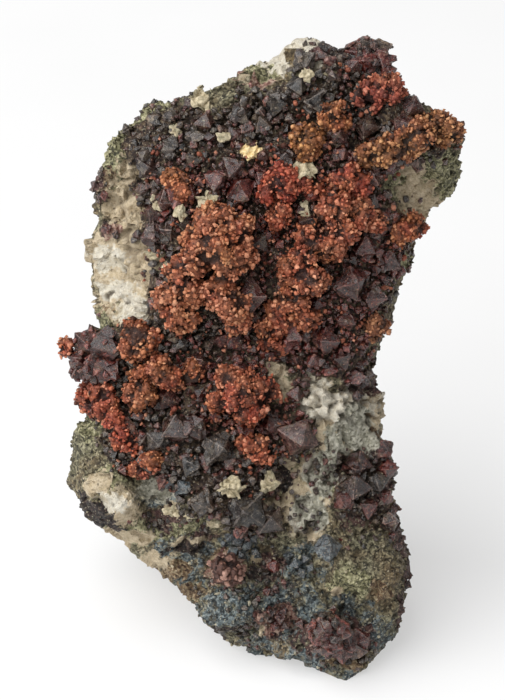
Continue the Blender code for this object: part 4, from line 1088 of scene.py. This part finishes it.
def copper_piece(node, tints, tree, shapes, setting, paint, seed):
    """One mass of copper: bubbly lumps set all over with beads, or with crystals."""
    mesh = remeshed(merged_copy(node), CORE_VOXEL, 1)
    moves = []
    values = {"red": [], "ochre": [], "grow": [], "tone": []}
    for vert in mesh.vertices:
        spot = vert.co
        warped = spot + wander(spot / 1.6) * 0.8
        away = noise.voronoi(warped / BUBBLE_SIZE)[0][0]
        bulge = math.sqrt(max(0.0, 1.0 - (away / 0.66) ** 2))
        swell = 0.7 * noise.noise(spot / 3.0)
        moves.append(spot + vert.normal * (BUBBLE_HEIGHT * (bulge - 0.6) + swell))
        values["grow"].append(smooth_step(0.1, 0.35, bulge))
        # Painted shade: the lump under the beads is darkest in the dips between its bubbles
        values["tone"].append(0.3 * smooth_step(0.2, 0.9, bulge))
        values["red"].append(tints[0] + 0.7 * noise.noise(spot / 2.4))
        values["ochre"].append(tints[1] + 0.6 * noise.noise(spot / 3.1 + Vector((5.0, 1.0, 2.0))))
    move_points(mesh.vertices, moves)
    for kind, numbers in values.items():
        set_values(mesh, kind, numbers)
    set_values(mesh, "dull", [DULL_COPPER.get(node, 0.0)] * len(moves))
    mesh.shade_smooth()
    mesh = sown_mesh(mesh, tree, shapes, setting, seed, paint, keep_ground=True)
    return add_sown(node + "_grains", mesh, "copper", node)


def add_sown(name, mesh, slot, *nodes):
    """A sown mesh, which is in metres, as a finished piece."""
    mesh.transform(Matrix.Scale(1.0 / MM, 4))
    return add_piece(name, mesh, slot, *nodes)


def crust_depth(spot):
    """Share of the crust's full height at a point: less near its edge."""
    around = (RIGHT * 1.8, RIGHT * -1.8, UP * 1.8, UP * -1.8)
    return sum(under_crust(spot + step) for step in around) / len(around)


def crust_ground(rise, grow):
    """The rock's face under the crust, raised into the crust, with where things grow on it."""
    body = bmesh.new()
    body.from_mesh(rock_mesh)
    bmesh.ops.subdivide_edges(body, edges=body.edges[:], cuts=3, use_grid_fill=True)
    out = []
    for face in body.faces:
        centre = face.calc_center_median()
        inside = under_crust(centre + wander(centre / 2.4) * 2.4)
        u, v, _ = seen_at(centre)
        if face.normal.dot(OUT) < 0.2 or not inside or patch_share(BARE_PATCHES, u, v) > 0.6:
            out.append(face)
    bmesh.ops.delete(body, geom=out, context="FACES")
    lifts = [vert.co + OUT * (rise * crust_depth(vert.co)) for vert in body.verts]
    move_points(body.verts, lifts)
    bmesh.ops.triangulate(body, faces=body.faces[:])
    mesh = mesh_from(body, "crust_ground")
    set_values(mesh, "grow", [grow(vert.co) for vert in mesh.vertices])
    set_values(mesh, "warm", [warmth_at(vert.co) for vert in mesh.vertices])
    return mesh


def everywhere(spot):
    return 1.0


def in_nests(spot):
    """Middle crystals stand in nests, with finer ones between."""
    return smooth_step(-0.15, 0.1, noise.noise(spot / 6.0))


def near_copper(spot):
    """Loose grains of copper lie around the masses."""
    return smooth_step(6.5, 0.5, copper_reach(spot)) * smooth_step(-0.15, 0.25, noise.noise(spot / 2.2))


def bunch_ground(node, warm):
    """The solid of a bunch as the ground for small crystals."""
    mesh = merged_copy(node)
    set_values(mesh, "grow", [1.0] * len(mesh.vertices))
    set_values(mesh, "warm", [warm] * len(mesh.vertices))
    return mesh


def loose_copper(tree, beads, paint):
    """Copper grains sprinkled over the crust, close to the masses."""
    ground = crust_ground(SPRINKLE_RISE, near_copper)
    count = len(ground.vertices)
    set_values(ground, "red", [0.5 + 0.6 * noise.noise(vert.co / 4.0) for vert in ground.vertices])
    set_values(ground, "ochre", [0.15] * count)
    set_values(ground, "dull", [0.3] * count)
    sown = sown_mesh(ground, tree, beads, SPRINKLE, SPRINKLE_SEED, paint)
    add_sown("copper_sprinkle", sown, "copper")


def pale_lumps(paint):
    """Small lumps of pale calcite that stand on the crystals and the rock."""
    body = bmesh.new()
    for index, (u, v, radius, wide, high) in enumerate(PALE_BITS):
        dice = random.Random(500 + index)
        shape = bmesh.new()
        bmesh.ops.create_icosphere(shape, subdivisions=4, radius=1.0)
        shift = Vector((dice.uniform(-90.0, 90.0), 0.0, 0.0))
        centre = place(u, v, front_depth(u, v) + 0.2)
        for vert in shape.verts:
            swell = 0.9 * noise.noise(1.7 * vert.co + shift) + chips(vert.co + shift, 0.6, 0.35)
            spot = vert.co * (1.0 + swell)
            spread = RIGHT * (wide * spot.x) + UP * (high * spot.z) - OUT * (0.5 * spot.y)
            vert.co = centre + radius * spread
        merge_shape(body, shape)
    mesh = mesh_from(body, "pale_lumps")
    smooth_over(mesh, LUMP_SHARP)
    mesh.materials.append(paint)
    add_piece("pale_lumps", mesh, "calcite")


def flake_piece(node, paint):
    """Thin ragged flake of calcite."""
    mesh = remeshed(merged_copy(node), FLAKE_VOXEL, 5)
    tear = 0.5 if node == STAR else 1.2
    moves = []
    for vert in mesh.vertices:
        spot = vert.co
        pull = wander(spot / 1.5) * tear + wander(spot / 0.6) * 0.5
        moves.append(spot + pull + vert.normal * (0.3 * noise.noise(spot / 0.4)))
    move_points(mesh.vertices, moves)
    set_values(mesh, "yellow", [1.0 if node == STAR else 0.0] * len(moves))
    mesh.shade_smooth()
    mesh.materials.append(paint)
    return add_piece(node + "_ragged", mesh, "calcite", node)


def make_camera():
    lens = bpy.data.cameras.new("camera")
    lens.sensor_width = SENSOR
    lens.lens = SENSOR * EYE_DISTANCE / VIEW_HEIGHT
    lens.clip_start, lens.clip_end = NEAREST, FARTHEST
    camera = in_scene("camera", lens)
    camera.location = EYE * MM
    camera.rotation_euler = (-OUT).to_track_quat("-Z", "Y").to_euler()
    bpy.context.scene.camera = camera


def make_stage():
    """White floor with a faint unevenness, bright as the sweep in the photo."""
    body = bmesh.new()
    bmesh.ops.create_grid(body, x_segments=2, y_segments=2, size=FLOOR_SIZE)
    mesh = mesh_from(body, "floor")
    paint = Paint("floor_white")
    tint = paint.mix(paint.fit(paint.noise(60.0, 2.0), 0.3, 0.7), FLOOR_DARK, FLOOR_PALE)
    paint.finish(tint, 0.9, None, emission_color=WHITE_LIGHT, emission_strength=FLOOR_GLOW)
    mesh.materials.append(paint.material)
    in_scene("floor", mesh)


def make_light():
    """One large soft lamp from the upper left, and an even sky."""
    world = bpy.data.worlds.new("studio")
    world.use_nodes = True
    sky = world.node_tree.nodes["Background"].inputs
    sky["Color"].default_value = WHITE_LIGHT
    sky["Strength"].default_value = SKY_STRENGTH
    bpy.context.scene.world = world
    light = bpy.data.lights.new("key", "AREA")
    light.shape = "DISK"
    light.size = KEY_SIZE
    light.energy = KEY_POWER
    lamp = in_scene("key", light)
    lamp.location = KEY_PLACE
    lamp.rotation_euler = (KEY_AIM - KEY_PLACE).to_track_quat("-Z", "Y").to_euler()
    bpy.context.scene.view_settings.view_transform = "Standard"


def large_crystals(paint):
    """The crystals that stand out, most on the rock's face and two bunches out in space."""
    for group, (name, (crystals, lift, *looks)) in enumerate(LARGE_PIECES.items()):
        placed = in_space(crystals) if lift is None else on_face(crystals, lift)
        crystal_piece(name, placed, group, paint, *looks)


def copper_pieces(tree, octahedra, paint):
    """Every mass of copper set with beads, but one with crystals, and the loose grains."""
    beads = shape_set("beads", [grit_shape, bead_shape, grit_shape, grit_shape] * 2)
    for seed, (node, tints) in enumerate(COPPER_TINTS.items()):
        if node == CRYSTALLINE_TUFT:
            copper_piece(node, tints, tree, octahedra, TUFT_CRYSTALS, paint, seed)
        else:
            copper_piece(node, tints, tree, beads, BEADS, paint, seed)
    loose_copper(tree, beads, paint)
    drop_shapes(beads)


def small_crystals(tree, octahedra, paint):
    """Crystals sown over the crust in three sizes, and over the bunches."""
    layers = {
        "middle_crystals": (MIDDLE_CRYSTALS, MIDDLE_RISE, in_nests),
        "small_crystals": (SMALL_CRYSTALS, SMALL_RISE, everywhere),
        "tiny_crystals": (TINY_CRYSTALS, TINY_RISE, everywhere),
    }
    for seed, (name, (setting, rise, grow)) in enumerate(layers.items()):
        sown = sown_mesh(crust_ground(rise, grow), tree, octahedra, setting, seed, paint)
        add_sown(name, sown, "cuprite")
    for name, (node, warm) in BUNCHES.items():
        sown = sown_mesh(bunch_ground(node, warm), tree, octahedra, BUNCH_CRYSTALS, BUNCH_SEED, paint)
        add_sown(name, sown, "cuprite")


def build():
    rock = rock_paint()
    crystal = crystal_paint()
    copper = copper_paint()
    calcite = calcite_paint()
    tree = sowing_tree()
    octahedra = shape_set("octahedra", [
        single_shape, stepped_shape, grit_shape, twin_shape, blunt_shape, stepped_shape, blunt_shape,
        grit_shape,
    ])
    rock_pieces(tree, octahedra, rock, crystal)
    large_crystals(crystal)
    copper_pieces(tree, octahedra, copper)
    small_crystals(tree, octahedra, crystal)
    drop_shapes(octahedra)
    for node in FLAKES:
        flake_piece(node, calcite)
    pale_lumps(calcite)


make_camera()
make_stage()
make_light()
build()
